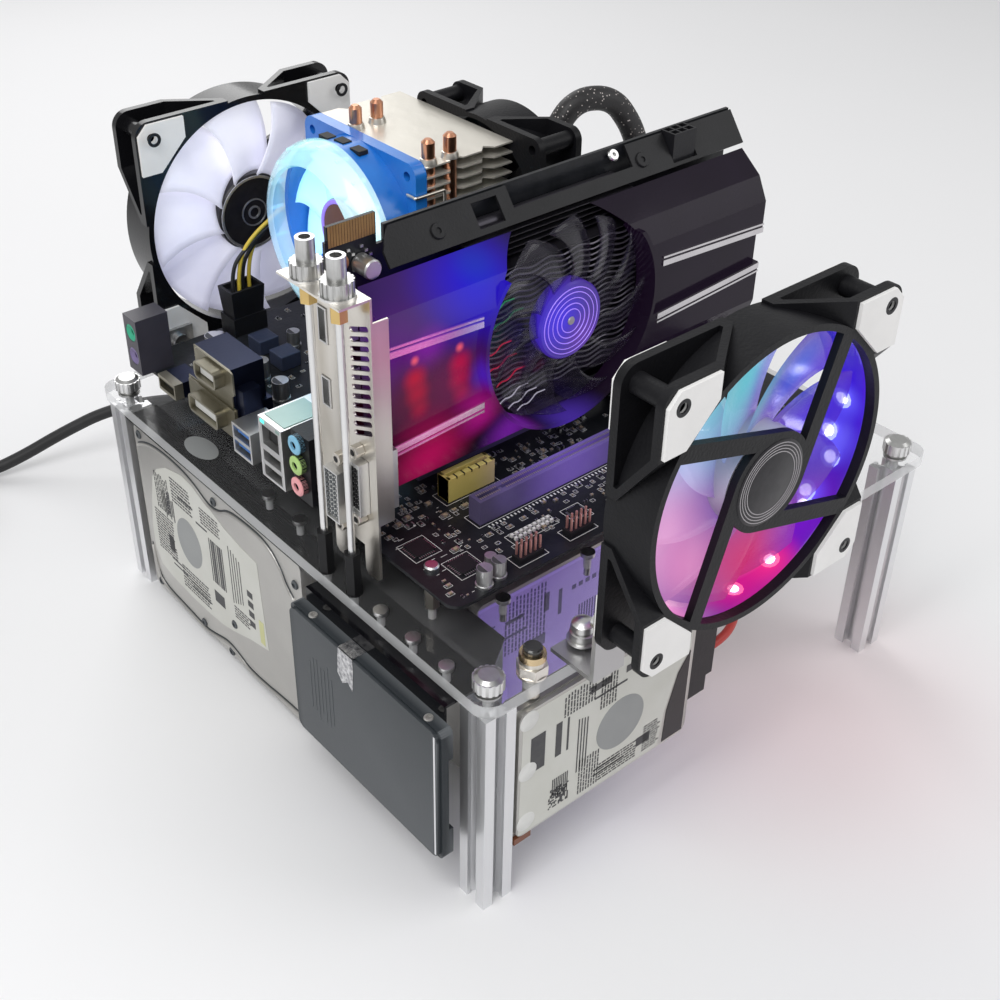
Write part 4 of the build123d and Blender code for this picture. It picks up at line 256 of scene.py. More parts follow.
# Sheet brackets: black on the port side, clear under the front drive
sheet_look = look("bracket_sheets", (0.003, 0.003, 0.004), 0.12, 0, (0.006, 0.006, 0.008), 30, 0.5, 0.03,
                  900, shine=0.3)
sheet_tree = sheet_look.node_tree
sheet_edge = spot("drive_brackets", 10.5, 0, 0)[0]
before = shader_node(sheet_tree, "Math", {0: own_axis(sheet_tree, "X"), 1: sheet_edge}, operation="LESS_THAN")
feed(sheet_tree, shader_of(sheet_look), {"Alpha": ranged(sheet_tree, before.outputs["Value"], 0, 1, 0.08, 1)})

# Painted lamplight from the fans: glowing spots of light and reflection painted on the card, the trim and the
# slots
shroud_look = look("lit_shroud", (0.005, 0.0045, 0.006), 0.17, 0, (0.009, 0.007, 0.012), 40, 0.5, 0.04, 900,
                   coat=0.08, shine=0.12)
lit_by(shroud_look, [
    ((44, 80, 226), 62, (0.045, 0.008, 0.15)),
    ((62, 80, 230), 36, (0.01, 0.003, 0.6)),
    ((66, 82, 240), 17, (0, 0.05, 0.36)),
    ((20, 78, 212), 26, (0.085, 0.006, 0.17)),
    ((36, 77, 209), 14, (0.2, 0.012, 0.34)),
    ((30, 80, 190), 26, (0.085, 0, 0.028)),
    ((50, 80, 190), 22, (0.11, 0, 0.045)),
    ((66, 80, 188), 13, (0.06, 0.01, 0.4)),
    ((30, 80, 198), 8, (0.42, 0, 0.03)),
    ((31, 80, 191), 8, (0.34, 0, 0.03)),
    ((32, 80, 184), 7, (0.26, 0, 0.03)),
    ((52, 80, 197), 8, (0.4, 0, 0.05)),
    ((52, 80, 190), 8, (0.33, 0, 0.05)),
    ((53, 80, 183), 7, (0.26, 0, 0.05)),
    ((30, 79, 206), 3, (1, 0.12, 0.16)),
    ((52, 79, 204), 3, (1, 0.12, 0.16)),
    ((36, 78, 160), 28, (0.36, 0.003, 0.075)),
    ((60, 78, 172), 16, (0.3, 0.002, 0.16)),
    ((80, 80, 154), 20, (0.13, 0.01, 0.26)),
    ((112, 78, 146), 22, (0.05, 0.02, 0.28)),
], 1, (0.005, 0.0015, 0.0075), "card_shroud")

trim_look = look("lit_trim", (0.62, 0.6, 0.62), 0.2, 1, (0.5, 0.48, 0.5), 60, 0.4, 0.05, 900)
lit_by(trim_look, [
    ((30, 76, 208), 42, (0.55, 0.1, 0.55)),
    ((60, 76, 205), 20, (0.3, 0.2, 0.75)),
    ((34, 76, 178), 42, (0.72, 0.08, 0.42)),
], 0.55, node="shroud_trim")

slot_look = look("lit_slot", (0.1, 0.085, 0.17), 0.35, 0, (0.07, 0.06, 0.13), 60, 0.5, 0.2, 700)
lit_by(slot_look, [
    ((98, 64, 140), 44, (0.1, 0.05, 0.32)),
    ((62, 58, 140), 14, (0.03, 0.02, 0.08)),
], 0.8, node="expansion_slots")
beyond(slot_look, "expansion_slots", "Y", BOARD_Y + 53, (0.62, 0.5, 0.14))
beyond(slot_look, "expansion_slots", "Y", BOARD_Y + 64, (0.09, 0.075, 0.14))
beyond(olive_tin, "video_ports", "X", 4.5, (0.022, 0.028, 0.06))

# Painted lamplight on the clear dome: glowing spots of pale cyan, teal and blue
dome_look = look("dome_clear", (0.75, 0.92, 0.95), 0.1, 0, (0.65, 0.85, 0.9), 40, 0.5, 0.05, 400, coat=0.6,
                 alpha=0.42)
lit_by(dome_look, [
    ((74, 180, 214), 40, (0.55, 0.95, 1)),
    ((74, 214, 236), 34, (0.12, 0.75, 0.62)),
    ((74, 240, 190), 30, (0.2, 0.4, 0.8)),
], 0.55, (0.15, 0.35, 0.42), "duct_ring")


# CAD nodes that keep their shape
def dress(names, material):
    """Gives CAD nodes a material."""
    for name in names.split():
        node = nodes[name]
        node.data.materials.clear()
        node.data.materials.append(material)


dress("legs", aluminium)
dress("corner_thumb_screws pan_head_screws thumb_nuts support_rods", zinc)
dress("fan_brackets", dark_steel)
dress("board_standoffs cooler_base card_bracket fan_clips button_body button_nut", nickel)
dress("brass_nuts", brass)
dress("heat_pipes", copper)
dress("deck_plate", deck_clear)
dress("motherboard card_board memory_modules", board_black)
dress("round_port", port_violet)
dress("video_ports", olive_tin)
dress("socket_stacks cpu_socket card_ports board_cans", tin)
dress("audio_ports power_sockets power_plugs pin_headers memory_slots board_chips pull_fan_rotor",
      black_plastic)
dress("expansion_slots", slot_look)
dress("cooler_fins", fin_sheet)
dress("card_heatsink", sink_look)
dress("card_shroud", shroud_look)
dress("shroud_trim", trim_look)
dress("front_fan_frame pull_fan_frame", frame_plastic)
dress("rear_fan_frame card_fan_rotor", gloss_black)
dress("duct_fan_frame duct_fan_rotor", blue_plastic)
dress("duct_ring", dome_look)
dress("fan_pads front_fan_rotor rear_fan_rotor", pad_white)
dress("hard_drives small_hard_drive", drive_lid)
dress("solid_state_drive", drive_slate)
dress("drive_brackets", sheet_look)
dress("power_supply rod_spacers card_top_frame", black_metal)
dress("main_cable", braid)
dress("supply_leads mains_connector mains_plug", sheath)
dress("button_cap", cap_look)


# Building helpers
def add_to_scene(name, data):
    """Makes an object of its data and links it into the scene."""
    piece = bpy.data.objects.new(name, data)
    bpy.context.scene.collection.objects.link(piece)
    return piece


def to_object(name, mesh_data, material, body="bench", smooth=False, bevel=0):
    """Makes an object from a bmesh, gives it a material and lets it ride."""
    mesh = bpy.data.meshes.new(name)
    bmesh.ops.recalc_face_normals(mesh_data, faces=mesh_data.faces)
    mesh_data.to_mesh(mesh)
    mesh_data.free()
    if smooth:
        mesh.shade_smooth()
    piece = add_to_scene(name, mesh)
    piece.data.materials.append(material)
    if bevel:
        soften = piece.modifiers.new("soften", "BEVEL")
        soften.width = bevel * MM
        soften.segments = 2
        soften.limit_method = "ANGLE"
    if body:
        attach(piece, body)
    return piece


def thicken(piece, thickness):
    """Gives a thin sheet its thickness in millimetres."""
    piece.modifiers.new("thicken", "SOLIDIFY").thickness = thickness * MM
    return piece


def moved(place, x, y, z=0):
    """A matrix shifted by millimetres in its own frame."""
    return place @ Matrix.Translation((x * MM, y * MM, z * MM))


def sized(x, y, z):
    """A matrix that scales a unit form to millimetres."""
    return Matrix.Diagonal((x * MM, y * MM, z * MM, 1))


def axes(origin, x_dir, z_dir):
    """The matrix of a local frame, with its y across the two given directions."""
    x = Vector(x_dir).normalized()
    z = Vector(z_dir).normalized()
    y = z.cross(x)
    matrix = Matrix((x, y, z)).transposed().to_4x4()
    matrix.translation = origin
    return matrix


def polar(radius, angle, height):
    """A point round the local z, from a radius and a height in millimetres."""
    return Vector((radius * MM * math.cos(angle), radius * MM * math.sin(angle), height * MM))


def ellipse(x, y, half_width, half_height, steps=40):
    """The outline of an ellipse round a centre."""
    angles = [math.tau * k / steps for k in range(steps)]
    return [(x + half_width * math.cos(a), y + half_height * math.sin(a)) for a in angles]


def blocks(name, items, material, bevel=0.15):
    """One piece made of many blocks, each a centre in the row frame, a size and perhaps a turn."""
    mesh_data = bmesh.new()
    for centre, size, *turn in items:
        matrix = Matrix.Translation(centre) @ (turn[0] if turn else Matrix()) @ sized(*size)
        bmesh.ops.create_cube(mesh_data, size=1, matrix=matrix)
    return to_object(name, mesh_data, material, bevel=bevel)


def turned(name, profile, place, material, body="bench", steps=48):
    """A turned piece: (radius, height) pairs in millimetres spun about the local z of a matrix."""
    mesh_data = bmesh.new()
    rings = []
    for radius, height in profile:
        angles = [math.tau * i / steps for i in range(steps if radius else 1)]
        rings.append([mesh_data.verts.new(place @ polar(radius, angle, height)) for angle in angles])
    for low, high in zip(rings, rings[1:]):
        for i in range(steps):
            corners = [low[i % len(low)], low[(i + 1) % len(low)]]
            corners += [high[(i + 1) % len(high)], high[i % len(high)]]
            unique = list(dict.fromkeys(corners))
            if len(unique) > 2:
                mesh_data.faces.new(unique)
    piece = to_object(name, mesh_data, material, body, smooth=True)
    piece.modifiers.new("crease", "EDGE_SPLIT").split_angle = math.radians(35)
    return piece


def plate(name, outline, place, thickness, material, bevel=0):
    """A flat plate cut to an outline of (x, y) millimetres, standing on a local frame."""
    mesh_data = bmesh.new()
    low = [mesh_data.verts.new(place @ Vector((x * MM, y * MM, 0))) for x, y in outline]
    raised = bmesh.ops.extrude_face_region(mesh_data, geom=[mesh_data.faces.new(low)])
    shift = (place.to_3x3() @ Vector((0, 0, 1))).normalized() * thickness * MM
    high = [v for v in raised["geom"] if isinstance(v, bmesh.types.BMVert)]
    bmesh.ops.translate(mesh_data, vec=shift, verts=high)
    return to_object(name, mesh_data, material, bevel=bevel)


def wire(name, points, diameter, material, body="bench"):
    """A round cord of order three along points in the row frame, which reaches its end points."""
    curve = bpy.data.curves.new(name, "CURVE")
    curve.dimensions = "3D"
    curve.bevel_depth = diameter * MM / 2
    curve.bevel_resolution = 5
    curve.resolution_u = 8
    curve.use_fill_caps = True
    spline = curve.splines.new("NURBS")
    spline.points.add(len(points) - 1)
    for slot, point in zip(spline.points, points):
        slot.co = (*point, 1)
    spline.order_u = 3
    spline.use_endpoint_u = True
    piece = add_to_scene(name, curve)
    curve.materials.append(material)
    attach(piece, body)
    return piece


# Wide part of the black sheet under the deck's port side; past the drive's edge it is painted shade of the
# board on the deck
plate("band_front", [(9.2, 10), (29, 24), (29, 262), (9.2, 262)], axes(at(0, 0, 104.9), *UPWARD), 1,
      gloss_black)


# Fan blades, hubs and lamps
def blade_ring(name, place, root, tip, chord, low, high, sweep, count, material, body, bow=1):
    """Thin swept blades about the local z of a matrix, each a smooth bowed sheet."""
    mesh_data = bmesh.new()
    along = 10
    across = 8
    for k in range(count):
        rows = []
        for i in range(along + 1):
            share = i / along
            radius = root + (tip - root) * share
            lead = math.tau * k / count + math.radians(sweep) * share ** 1.4
            row = []
            for j in range(across + 1):
                part = j / across
                angle = lead + (part - 0.5) * chord / radius * (0.75 + 0.25 * share)
                height = low + (high - low) * part + bow * math.sin(math.pi * part)
                row.append(mesh_data.verts.new(place @ polar(radius, angle, height)))
            rows.append(row)
        for near, far in zip(rows, rows[1:]):
            for j in range(across):
                mesh_data.faces.new((near[j], near[j + 1], far[j + 1], far[j]))
    return thicken(to_object(name, mesh_data, material, body, smooth=True), 0.9)


def hub(name, place, radius, low, high, shaft, rings, material, body):
    """A hub whose face has fine turned rings, on a shaft that reaches down from it."""
    steps = rings * 2
    shaft_radius = 1.4
    profile = [(0, high)]
    profile += [((i + 1) * (radius - 2) / steps, high - 0.25 * (i % 2)) for i in range(steps)]
    profile += [(radius - 0.8, high - 0.1), (radius, high - 1), (radius, low)]
    profile += [(shaft_radius, low), (shaft_radius, shaft), (0, shaft)]
    return turned(name, profile, place, material, body)


# Case fans: where a blade starts and ends, the hub's radius, the depth, and the pads' distance out
CASE_ROOT = 19
CASE_TIP = 55.3
CASE_HUB = 19.8
CASE_DEPTH = 25
PAD_REACH = 52.5

sticker = look("hub_sticker", (0.012, 0.011, 0.014), 0.3, 0.1, (0.03, 0.028, 0.032), 300, 0.5, 0.05, 500,
               shine=0.3)
ring_print = look("hub_rings", (0.42, 0.4, 0.42), 0.4, 0.3, (0.3, 0.28, 0.3), 90, 0.5)
# Rings that glow with painted violet lamplight
violet_lit_ring = look("violet_lit_ring", (0.35, 0.25, 0.75), 0.3, 0.2, (0.3, 0.2, 0.6), 80, 0.5,
                   glow=(0.25, 0.12, 0.7), strength=0.6)

# Front fan: dark blades and a wall that glow with painted violet, pink and cyan lamplight, small lamps on the
# wall, and a dark sticker on its fixed hub
FRONT_FAN = at(90.1, -44.9, 190.8)
front_place = axes(FRONT_FAN, (-1, 0, 0), (0, 1, 0))
front_blade = look("front_blades", (0.06, 0.05, 0.12), 0.22, 0, (0.04, 0.03, 0.1), 60, 0.5, 0.1, 500,
                   alpha=0.74, shine=0.3)
lit_by(front_blade, [
    ((62, -30, 226), 44, (0.3, 0.72, 0.86)),
    ((84, -30, 232), 26, (0.12, 0.62, 0.62)),
    ((52, -30, 206), 24, (0.55, 0.6, 0.95)),
    ((46, -30, 180), 34, (0.92, 0.42, 0.72)),
    ((62, -30, 160), 26, (0.85, 0.3, 0.6)),
    ((96, -30, 148), 38, (0.72, 0.008, 0.12)),
    ((128, -30, 150), 26, (0.3, 0.01, 0.55)),
    ((134, -30, 196), 48, (0.045, 0.004, 0.62)),
    ((112, -30, 224), 26, (0.03, 0.1, 0.6)),
], 0.8, (0.2, 0.1, 0.4))
front_blades = blade_ring("front_fan_blades", front_place, CASE_ROOT, CASE_TIP, 42, 8, 19, 18, 9,
                          front_blade, "front_fan_rotor", bow=-1)
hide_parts("front_fan_rotor")
front_hub_look = look("front_hub", (0.6, 0.58, 0.66), 0.35, 0, (0.5, 0.48, 0.56), 60, 0.5, 0.05, 500)
hub("front_fan_hub", front_place, CASE_HUB, 3.6, 20.5, 0.4, 4, front_hub_look, "front_fan_rotor")

# The wall's glow is painted lamplight from its lamps
front_wall = look("front_wall", (0.02, 0.01, 0.06), 0.2, 0, (0.03, 0.01, 0.08), 30, 0.5, 0.05, 500,
                  shine=0.3)
lit_by(front_wall, [
    ((146, -30, 200), 60, (0.035, 0.006, 0.62)),
    ((140, -26, 236), 36, (0.02, 0.02, 0.45)),
    ((128, -30, 150), 34, (0.16, 0.005, 0.52)),
    ((96, -30, 136), 34, (0.62, 0.006, 0.22)),
    ((112, -34, 138), 16, (0.85, 0.02, 0.22)),
    ((50, -30, 150), 40, (0.75, 0.25, 0.5)),
    ((70, -30, 245), 40, (0.08, 0.45, 0.5)),
    ((144, -30, 180), 15, (0.12, 0.1, 0.95)),
    ((136, -30, 157), 12, (0.14, 0.08, 0.95)),
    ((146, -31, 197), 12, (0.12, 0.1, 0.95)),
], 1, (0.05, 0.01, 0.25))
turned("front_fan_wall", [(56.95, 4), (56.55, 5), (56.55, 20.5), (56.95, 21.5)], front_place, front_wall,
       steps=96)


def lamps(name, places, radius, material):
    """Small domed lamps on the front fan's wall, each facing the fan's axis."""
    mesh_data = bmesh.new()
    for place in places:
        centre = at(*place)
        aim = (Vector((FRONT_FAN.x, centre.y, FRONT_FAN.z)) - centre).normalized()
        matrix = axes(centre, aim.orthogonal(), aim) @ sized(radius, radius, 0.5)
        bmesh.ops.create_uvsphere(mesh_data, u_segments=12, v_segments=6, radius=1, matrix=matrix)
    return to_object(name, mesh_data, material, smooth=True)


WHITE_LAMPS = [(145.3, -31.4, 197.6), (144.4, -28.5, 182.5), (142.6, -32.8, 173.1), (135.2, -29.5, 158.8),
               (131.6, -31.6, 154.4)]
PINK_LAMPS = [(111.8, -34.5, 139.6), (92.1, -34.2, 135.1)]
led_white = look("led_white", (1, 1, 1), 0.4, glow=(1, 0.97, 1), strength=9)
led_pink = look("led_pink", (1, 0.7, 0.8), 0.4, glow=(1, 0.55, 0.75), strength=8)
blue_halo = look("lamp_halo", (0.1, 0.1, 0.5), 0.5, glow=(0.35, 0.4, 1), strength=1.6, alpha=0.5)
red_halo = look("lamp_halo_red", (0.5, 0.05, 0.1), 0.5, glow=(1, 0.12, 0.3), strength=1.4, alpha=0.5)
lamps("front_fan_lamps", WHITE_LAMPS, 2.6, led_white)
lamps("front_fan_halos", WHITE_LAMPS, 4.4, blue_halo)
lamps("front_fan_lamps_low", PINK_LAMPS, 2.2, led_pink)
lamps("front_fan_halos_low", PINK_LAMPS, 4, red_halo)

turned("front_fan_sticker", [(0, -0.35), (16.6, -0.35), (17.2, -0.1), (17.2, 0), (0, 0)], front_place,
       sticker)
for i, radius in enumerate((12.2, 13.4, 14.6, 15.8)):
    profile = [(radius, -0.36), (radius + 0.06, -0.45), (radius + 0.3, -0.45), (radius + 0.36, -0.36)]
    turned(f"front_fan_sticker_ring_{i}", profile, front_place, ring_print)

# Rear fan: pale blades that glow with painted white lamplight, and a black hub with tin rings
rear_place = axes(at(84.9, 302.1, 180.6), *FRONTWARD)
rear_blade = look("rear_blades", (0.86, 0.86, 0.92), 0.3, 0, (0.6, 0.6, 0.74), 26, 0.6, 0.15, 300,
                  alpha=0.78)
lit_by(rear_blade, [
    ((60, 285, 200), 60, (0.8, 0.8, 0.92)),
    ((40, 285, 150), 45, (0.55, 0.55, 0.72)),
    ((90, 285, 225), 30, (0.95, 0.95, 1)),
], 0.42, (0.45, 0.45, 0.56))
rear_blades = blade_ring("rear_fan_blades", rear_place, CASE_ROOT, CASE_TIP, 36, 7, 19.5, 16, 9,
                         rear_blade, "rear_fan_rotor")
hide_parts("rear_fan_rotor")
hub("rear_fan_hub", rear_place, CASE_HUB, 3.6, 20.4, 0.4, 5, sticker, "rear_fan_rotor")
for i, (radius, wide) in enumerate(((2.4, 1), (6.4, 0.7), (17.6, 1.3))):
    profile = [(radius, 20.3), (radius + 0.1, 20.7), (radius + wide, 20.7), (radius + wide + 0.1, 20)]
    turned(f"rear_fan_hub_ring_{i}", profile, rear_place, tin, "rear_fan_rotor")

# Duct fan of the cooler: pale blades glowing with painted lamplight under a clear dome with ribs, and a hub
# ring with a painted violet glow
DUCT_FAN = at(101, 204, 198)
duct_place = axes(DUCT_FAN, *PORTWARD)
duct_blade = look("duct_blades", (0.7, 0.85, 0.92), 0.25, 0, (0.5, 0.75, 0.85), 40, 0.5, 0.1, 400,
                  alpha=0.8)
lit_by(duct_blade, [
    ((84, 190, 205), 34, (1, 1, 1)),
    ((84, 214, 220), 30, (0.25, 0.85, 0.75)),
    ((84, 222, 190), 26, (0.3, 0.45, 0.95)),
], 0.85, (0.35, 0.75, 0.85))
duct_blades = blade_ring("duct_fan_blades", duct_place, 15, 37.8, 38, 6, 17, 20, 7, duct_blade,
                         "duct_fan_rotor")
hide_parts("duct_fan_rotor")
duct_hub_look = look("duct_hub", (0.2, 0.075, 0.045), 0.35, 0.2, (0.15, 0.05, 0.035), 80, 0.5, 0.05, 500)
hub("duct_fan_hub", duct_place, 15.8, 3.6, 17.6, 0.4, 3, duct_hub_look, "duct_fan_rotor")
turned("duct_fan_hub_ring", [(13.2, 17.3), (13.5, 17.8), (15.2, 17.8), (15.6, 17)], duct_place, violet_lit_ring,
       "duct_fan_rotor")
DOME_RIBS = 20
spokes = [Matrix.Rotation(math.tau * i / DOME_RIBS, 4, "X") for i in range(DOME_RIBS)]
ribs = [(DUCT_FAN + spoke @ Vector((-0.024, 0, 0.0428)), (7, 1.4, 1.2), spoke) for spoke in spokes]
blocks("duct_ring_ribs", ribs, dome_look)
# Dark blocks of painted shade in the dome's slots
DUCT_SLOTS = [(194, 239.2), (206, 239.6), (218, 238.2)]
blocks("duct_slots", [(at(88.5, y, z), (5, 7, 2)) for y, z in DUCT_SLOTS], painted_hole_shade)

# Card fan: smoky blades over the fins, and a dark hub and rings that glow with painted violet lamplight
card_place = axes(at(111.2, 86.5, 195.2), *FRONTWARD)
smoke = look("smoky_blades", (0.02, 0.018, 0.028), 0.12, 0, (0.04, 0.03, 0.06), 60, 0.5, 0.05, 500,
             coat=0.5, alpha=0.34)
card_blades = blade_ring("card_fan_blades", card_place, 16.5, 44.6, 19, 1, 6, 30, 11, smoke,
                         "card_fan_rotor", bow=0.8)
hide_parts("card_fan_rotor")
violet_lit_hub = look("violet_lit_hub", (0.03, 0.02, 0.12), 0.25, 0.1, (0.02, 0.012, 0.08), 60, 0.5, 0.05, 500,
                  shine=0.3)
lit_by(violet_lit_hub, [
    ((104, 80, 198), 20, (0.035, 0.012, 0.75)),
    ((119, 80, 186), 14, (0.12, 0.03, 0.35)),
], 0.8, (0.05, 0.02, 0.25))
hub("card_fan_hub", card_place, 17.4, 0.2, 6.9, -5.8, 8, violet_lit_hub, "card_fan_rotor")
for i, radius in enumerate((5, 7.5, 10, 12.5, 14.6)):
    profile = [(radius, 6.75), (radius + 0.1, 7), (radius + 0.4, 7), (radius + 0.5, 6.6)]
    turned(f"card_fan_hub_ring_{i}", profile, card_place, violet_lit_ring, "card_fan_rotor")
turned("card_fan_hub_pin", [(0, 7.4), (1.6, 7.3), (1.9, 6.8)], card_place, ring_print, "card_fan_rotor")

# Wavy front edges of the card's fins, seen through the blades; their pale grey is a painted highlight
FIN_START = 67
FIN_END = 157
FIN_STEPS = 40
fin_edge = look("fin_edges", (0.36, 0.34, 0.4), 0.28, 0.8, (0.1, 0.09, 0.12), 90, 0.5, 0.05, 900)
fin_mesh = bmesh.new()
for k in range(24):
    last = None
    for i in range(FIN_STEPS + 1):
        x = FIN_START + (FIN_END - FIN_START) * i / FIN_STEPS
        z = 163.5 + 2.54 * k + 0.8 * math.sin(math.tau * (x - FIN_START) / 17)
        pair = [fin_mesh.verts.new(at(x, 88.2, z + h)) for h in (-0.4, 0.4)]
        if last:
            fin_mesh.faces.new((last[0], pair[0], pair[1], last[1]))
        last = pair
thicken(to_object("card_fin_edges", fin_mesh, fin_edge, smooth=True), 0.5)

# Short curls of coloured light on those edges
STREAKS = [("red", (0.8, 0.02, 0.08), ((70, 187), (73, 180), (78, 172))),
           ("green", (0.05, 0.5, 0.2), ((71, 206), (76, 200))),
           ("white", (0.75, 0.72, 0.85), ((80, 163), (85, 159), (90, 156)))]
for tone, color, places in STREAKS:
    streak_look = look(f"streak_{tone}", color, 0.4, glow=color, strength=0.7)
    for i, (x, z) in enumerate(places):
        curl = [at(x + 2.6 * k, 87.8, z + 0.9 * k + 1.1 * math.sin(1.9 * k)) for k in range(7)]
        wire(f"card_streak_{tone}_{i}", curl, 0.55, streak_look)

# Dark grommets in the pads of the two case fans
PAD_RING = [(1.9, -1), (1.9, -1.56), (2.3, -1.6), (3.3, -1.56), (3.3, -1)]
rear_pads = moved(rear_place, 0, 0, CASE_DEPTH) @ Matrix.Rotation(math.pi, 4, "X")
for fan, place in (("front", front_place), ("rear", rear_pads)):
    for i, (x, y) in enumerate(((1, 1), (1, -1), (-1, 1), (-1, -1))):
        corner = moved(place, x * PAD_REACH, y * PAD_REACH)
        turned(f"{fan}_pad_ring_{i}", PAD_RING, corner, black_plastic, steps=24)

# Board: where large parts stand, so that small ones keep clear
CHIPS = [(20, 18.5, 9), (12.8, 38, 9), (78, 16, 6), (90, 212, 7), (75, 193, 6)]
CANS = [(31.7, 223.9, 4.2, 10), (36.3, 189.2, 4, 10), (33.5, 167.9, 4, 10), (66, 206, 3.2, 8),
        (18.5, 4.6, 3.2, 8.5), (26.4, 5.4, 3, 8)]
CHOKES = [(52.5, 212), (52.5, 193)]
BOARD_HOLES = [(9.2, 25.5), (9.2, 80.6), (42, 236.6), (164.5, 25.5), (164.5, 236.6), (216.5, 25.5),
               (216.5, 156.6), (216.5, 236.6)]
LARGE_PARTS = [(0, 225, 20, 240), (-5, 146, 20, 214), (-5, 125, 24, 147), (-5, 100, 26, 124),
               (-5, 84, 12, 103), (38, 32, 134, 44), (38, 53, 70, 64), (38, 73, 134, 84), (175, 88, 200, 234),
               (200, 165, 226, 224), (40, 228, 72, 244), (82, 140, 130, 196), (149, 41, 187, 79),
               (33, 2, 92, 13)]


def around(x, y, half_x, half_y):
    """The rectangle round a place, as its left, low, right and high sides."""
    return x - half_x, y - half_y, x + half_x, y + half_y


taken = list(LARGE_PARTS)
taken += [around(x, y, 7, 7) for x, y in BOARD_HOLES + CHOKES + [(28.2, 12.4)]]
taken += [around(x, y, 7, 7) for x, y, radius, height in CANS]
taken += [around(x, y, side / 2 + 3, side / 2 + 3) for x, y, side in CHIPS]


def free(x, y, wide, deep):
    """True where a small part has room on the board."""
    return not any(x + wide > a and x - wide < c and y + deep > b and y - deep < d for a, b, c, d in taken)


def outline_on_board(x, y, wide, deep, line=0.22):
    """Adds a white printed rectangle round a place on the board."""
    for side in (-1, 1):
        prints.append((on_board(x, y + side * deep / 2, 0.05), (wide, line, 0.06)))
        prints.append((on_board(x + side * wide / 2, y, 0.05), (line, deep, 0.06)))


# Small parts of the board: bodies with tinned ends, dark parts, and a printed outline round most
SMALL_PARTS = ((1.7, 0.9, 0.6), (2.2, 1.2, 0.8), (3.2, 1.7, 1.1), (1.2, 0.7, 0.45))
bodies = []
ends = []
prints = []
dark_parts = []
for i in range(1150):
    near_corner = i > 420
    x = chance.uniform(4, 120 if near_corner else 222)
    y = chance.uniform(3, 76 if near_corner else 240)
    along_x = chance.random() < 0.5
    long_side, short_side, tall = chance.choice(SMALL_PARTS)
    wide, deep = (long_side, short_side) if along_x else (short_side, long_side)
    if not free(x, y, wide, deep):
        continue
    taken.append(around(x, y, wide / 2 + 0.5, deep / 2 + 0.5))
    place = on_board(x, y, tall / 2 + 0.05)
    kind = bodies if chance.random() < 0.6 else dark_parts
    kind.append((place, (wide * 0.7, deep * 0.96, tall)))
    cap = (wide * 0.2, deep, tall) if along_x else (wide, deep * 0.2, tall)
    reach = Vector((wide * 0.4, 0, 0) if along_x else (0, deep * 0.4, 0)) * MM
    ends += [(place - reach, cap), (place + reach, cap)]
    if chance.random() < 0.7:
        outline_on_board(x, y, wide + 0.9, deep + 0.9, 0.16)
tan = look("ceramic_tan", (0.34, 0.27, 0.19), 0.5, 0, (0.26, 0.2, 0.14), 200, 0.5, 0.1, 900)
blocks("board_small_parts", bodies, tan, bevel=0.05)
blocks("board_small_blacks", dark_parts, black_plastic, bevel=0.05)
blocks("board_small_ends", ends, tin, bevel=0)

# White print of the board
for x, y, side in CHIPS:
    outline_on_board(x, y, side + 4, side + 4)
for item in ((43.5, 7.4, 15.5, 7.5), (70.5, 7.4, 15.5, 7.5), (56, 19, 24, 6.5), (86, 38, 92, 9.6),
             (54, 58.3, 29, 9.6)):
    outline_on_board(*item)
prints += [(on_board(44 + i * 2, 31.6, 0.05), (0.7, 1.3, 0.06)) for i in range(44)]
for i in range(30):
    x = chance.uniform(5, 36)
    y = chance.uniform(2, 60)
    prints.append((on_board(x, y, 0.05), (chance.uniform(1, 3.4), 0.22, 0.06)))
blocks("board_print", prints, white_print, bevel=0)

# Leads of the chips, eight on each side
leads = []
for x, y, side in CHIPS:
    for k in range(8):
        reach = (k - 3.5) * side / 9
        for out in (-side / 2 - 0.5, side / 2 + 0.5):
            leads.append((on_board(x + out, y + reach, 0.35), (1.1, 0.35, 0.3)))
            leads.append((on_board(x + reach, y + out, 0.35), (0.35, 1.1, 0.3)))
blocks("chip_leads", leads, tin, bevel=0)

# Header pins and a row of pads
PIN_PITCH = 2.54
pin_copper = look("header_pins", (0.72, 0.38, 0.34), 0.3, 0.7, (0.6, 0.28, 0.25), 90, 0.5)
pins = [(on_board(x + (i - 2) * PIN_PITCH, 7.4 + (j - 0.5) * PIN_PITCH, 5.6), (0.8, 0.8, 6.2))
        for x in (43.5, 70.5) for i in range(5) for j in range(2)]
blocks("header_pin_tips", pins, pin_copper, bevel=0.08)
pads = [(on_board(46.5 + i * 2.4, 18 + j * 2.4, 0.8), (1.3, 1.3, 1.6)) for i in range(9) for j in range(2)]
blocks("row_of_pads", pads, socket_white, bevel=0.1)

# Contacts of the long slot, except at its key, and the short yellow slot
SLOT_Y = 38
KEY = (11, 12, 13)
pale_gold = look("pale_gold", (0.6, 0.56, 0.38), 0.3, 0.8, (0.5, 0.46, 0.3), 90, 0.5)
contacts = [(on_board(43.5 + i, SLOT_Y + side * 1.35, 11.35), (0.4, 0.9, 0.2))
            for i in range(85) for side in (-1, 1) if i not in KEY]
blocks("slot_contacts", contacts, pale_gold, bevel=0)
SHORT_Y = 58.32
SHORT_HEIGHT = 11.4
walls = [(54, SHORT_Y - 2.3, 24.9, 2.5), (54, SHORT_Y + 2.3, 24.9, 2.5), (42.3, SHORT_Y, 1.6, 7.1),
         (65.7, SHORT_Y, 1.6, 7.1)]
walls = [(on_board(x, y, SHORT_HEIGHT / 2), (wide, deep, SHORT_HEIGHT)) for x, y, wide, deep in walls]
blocks("short_slot_walls", walls, slot_yellow)
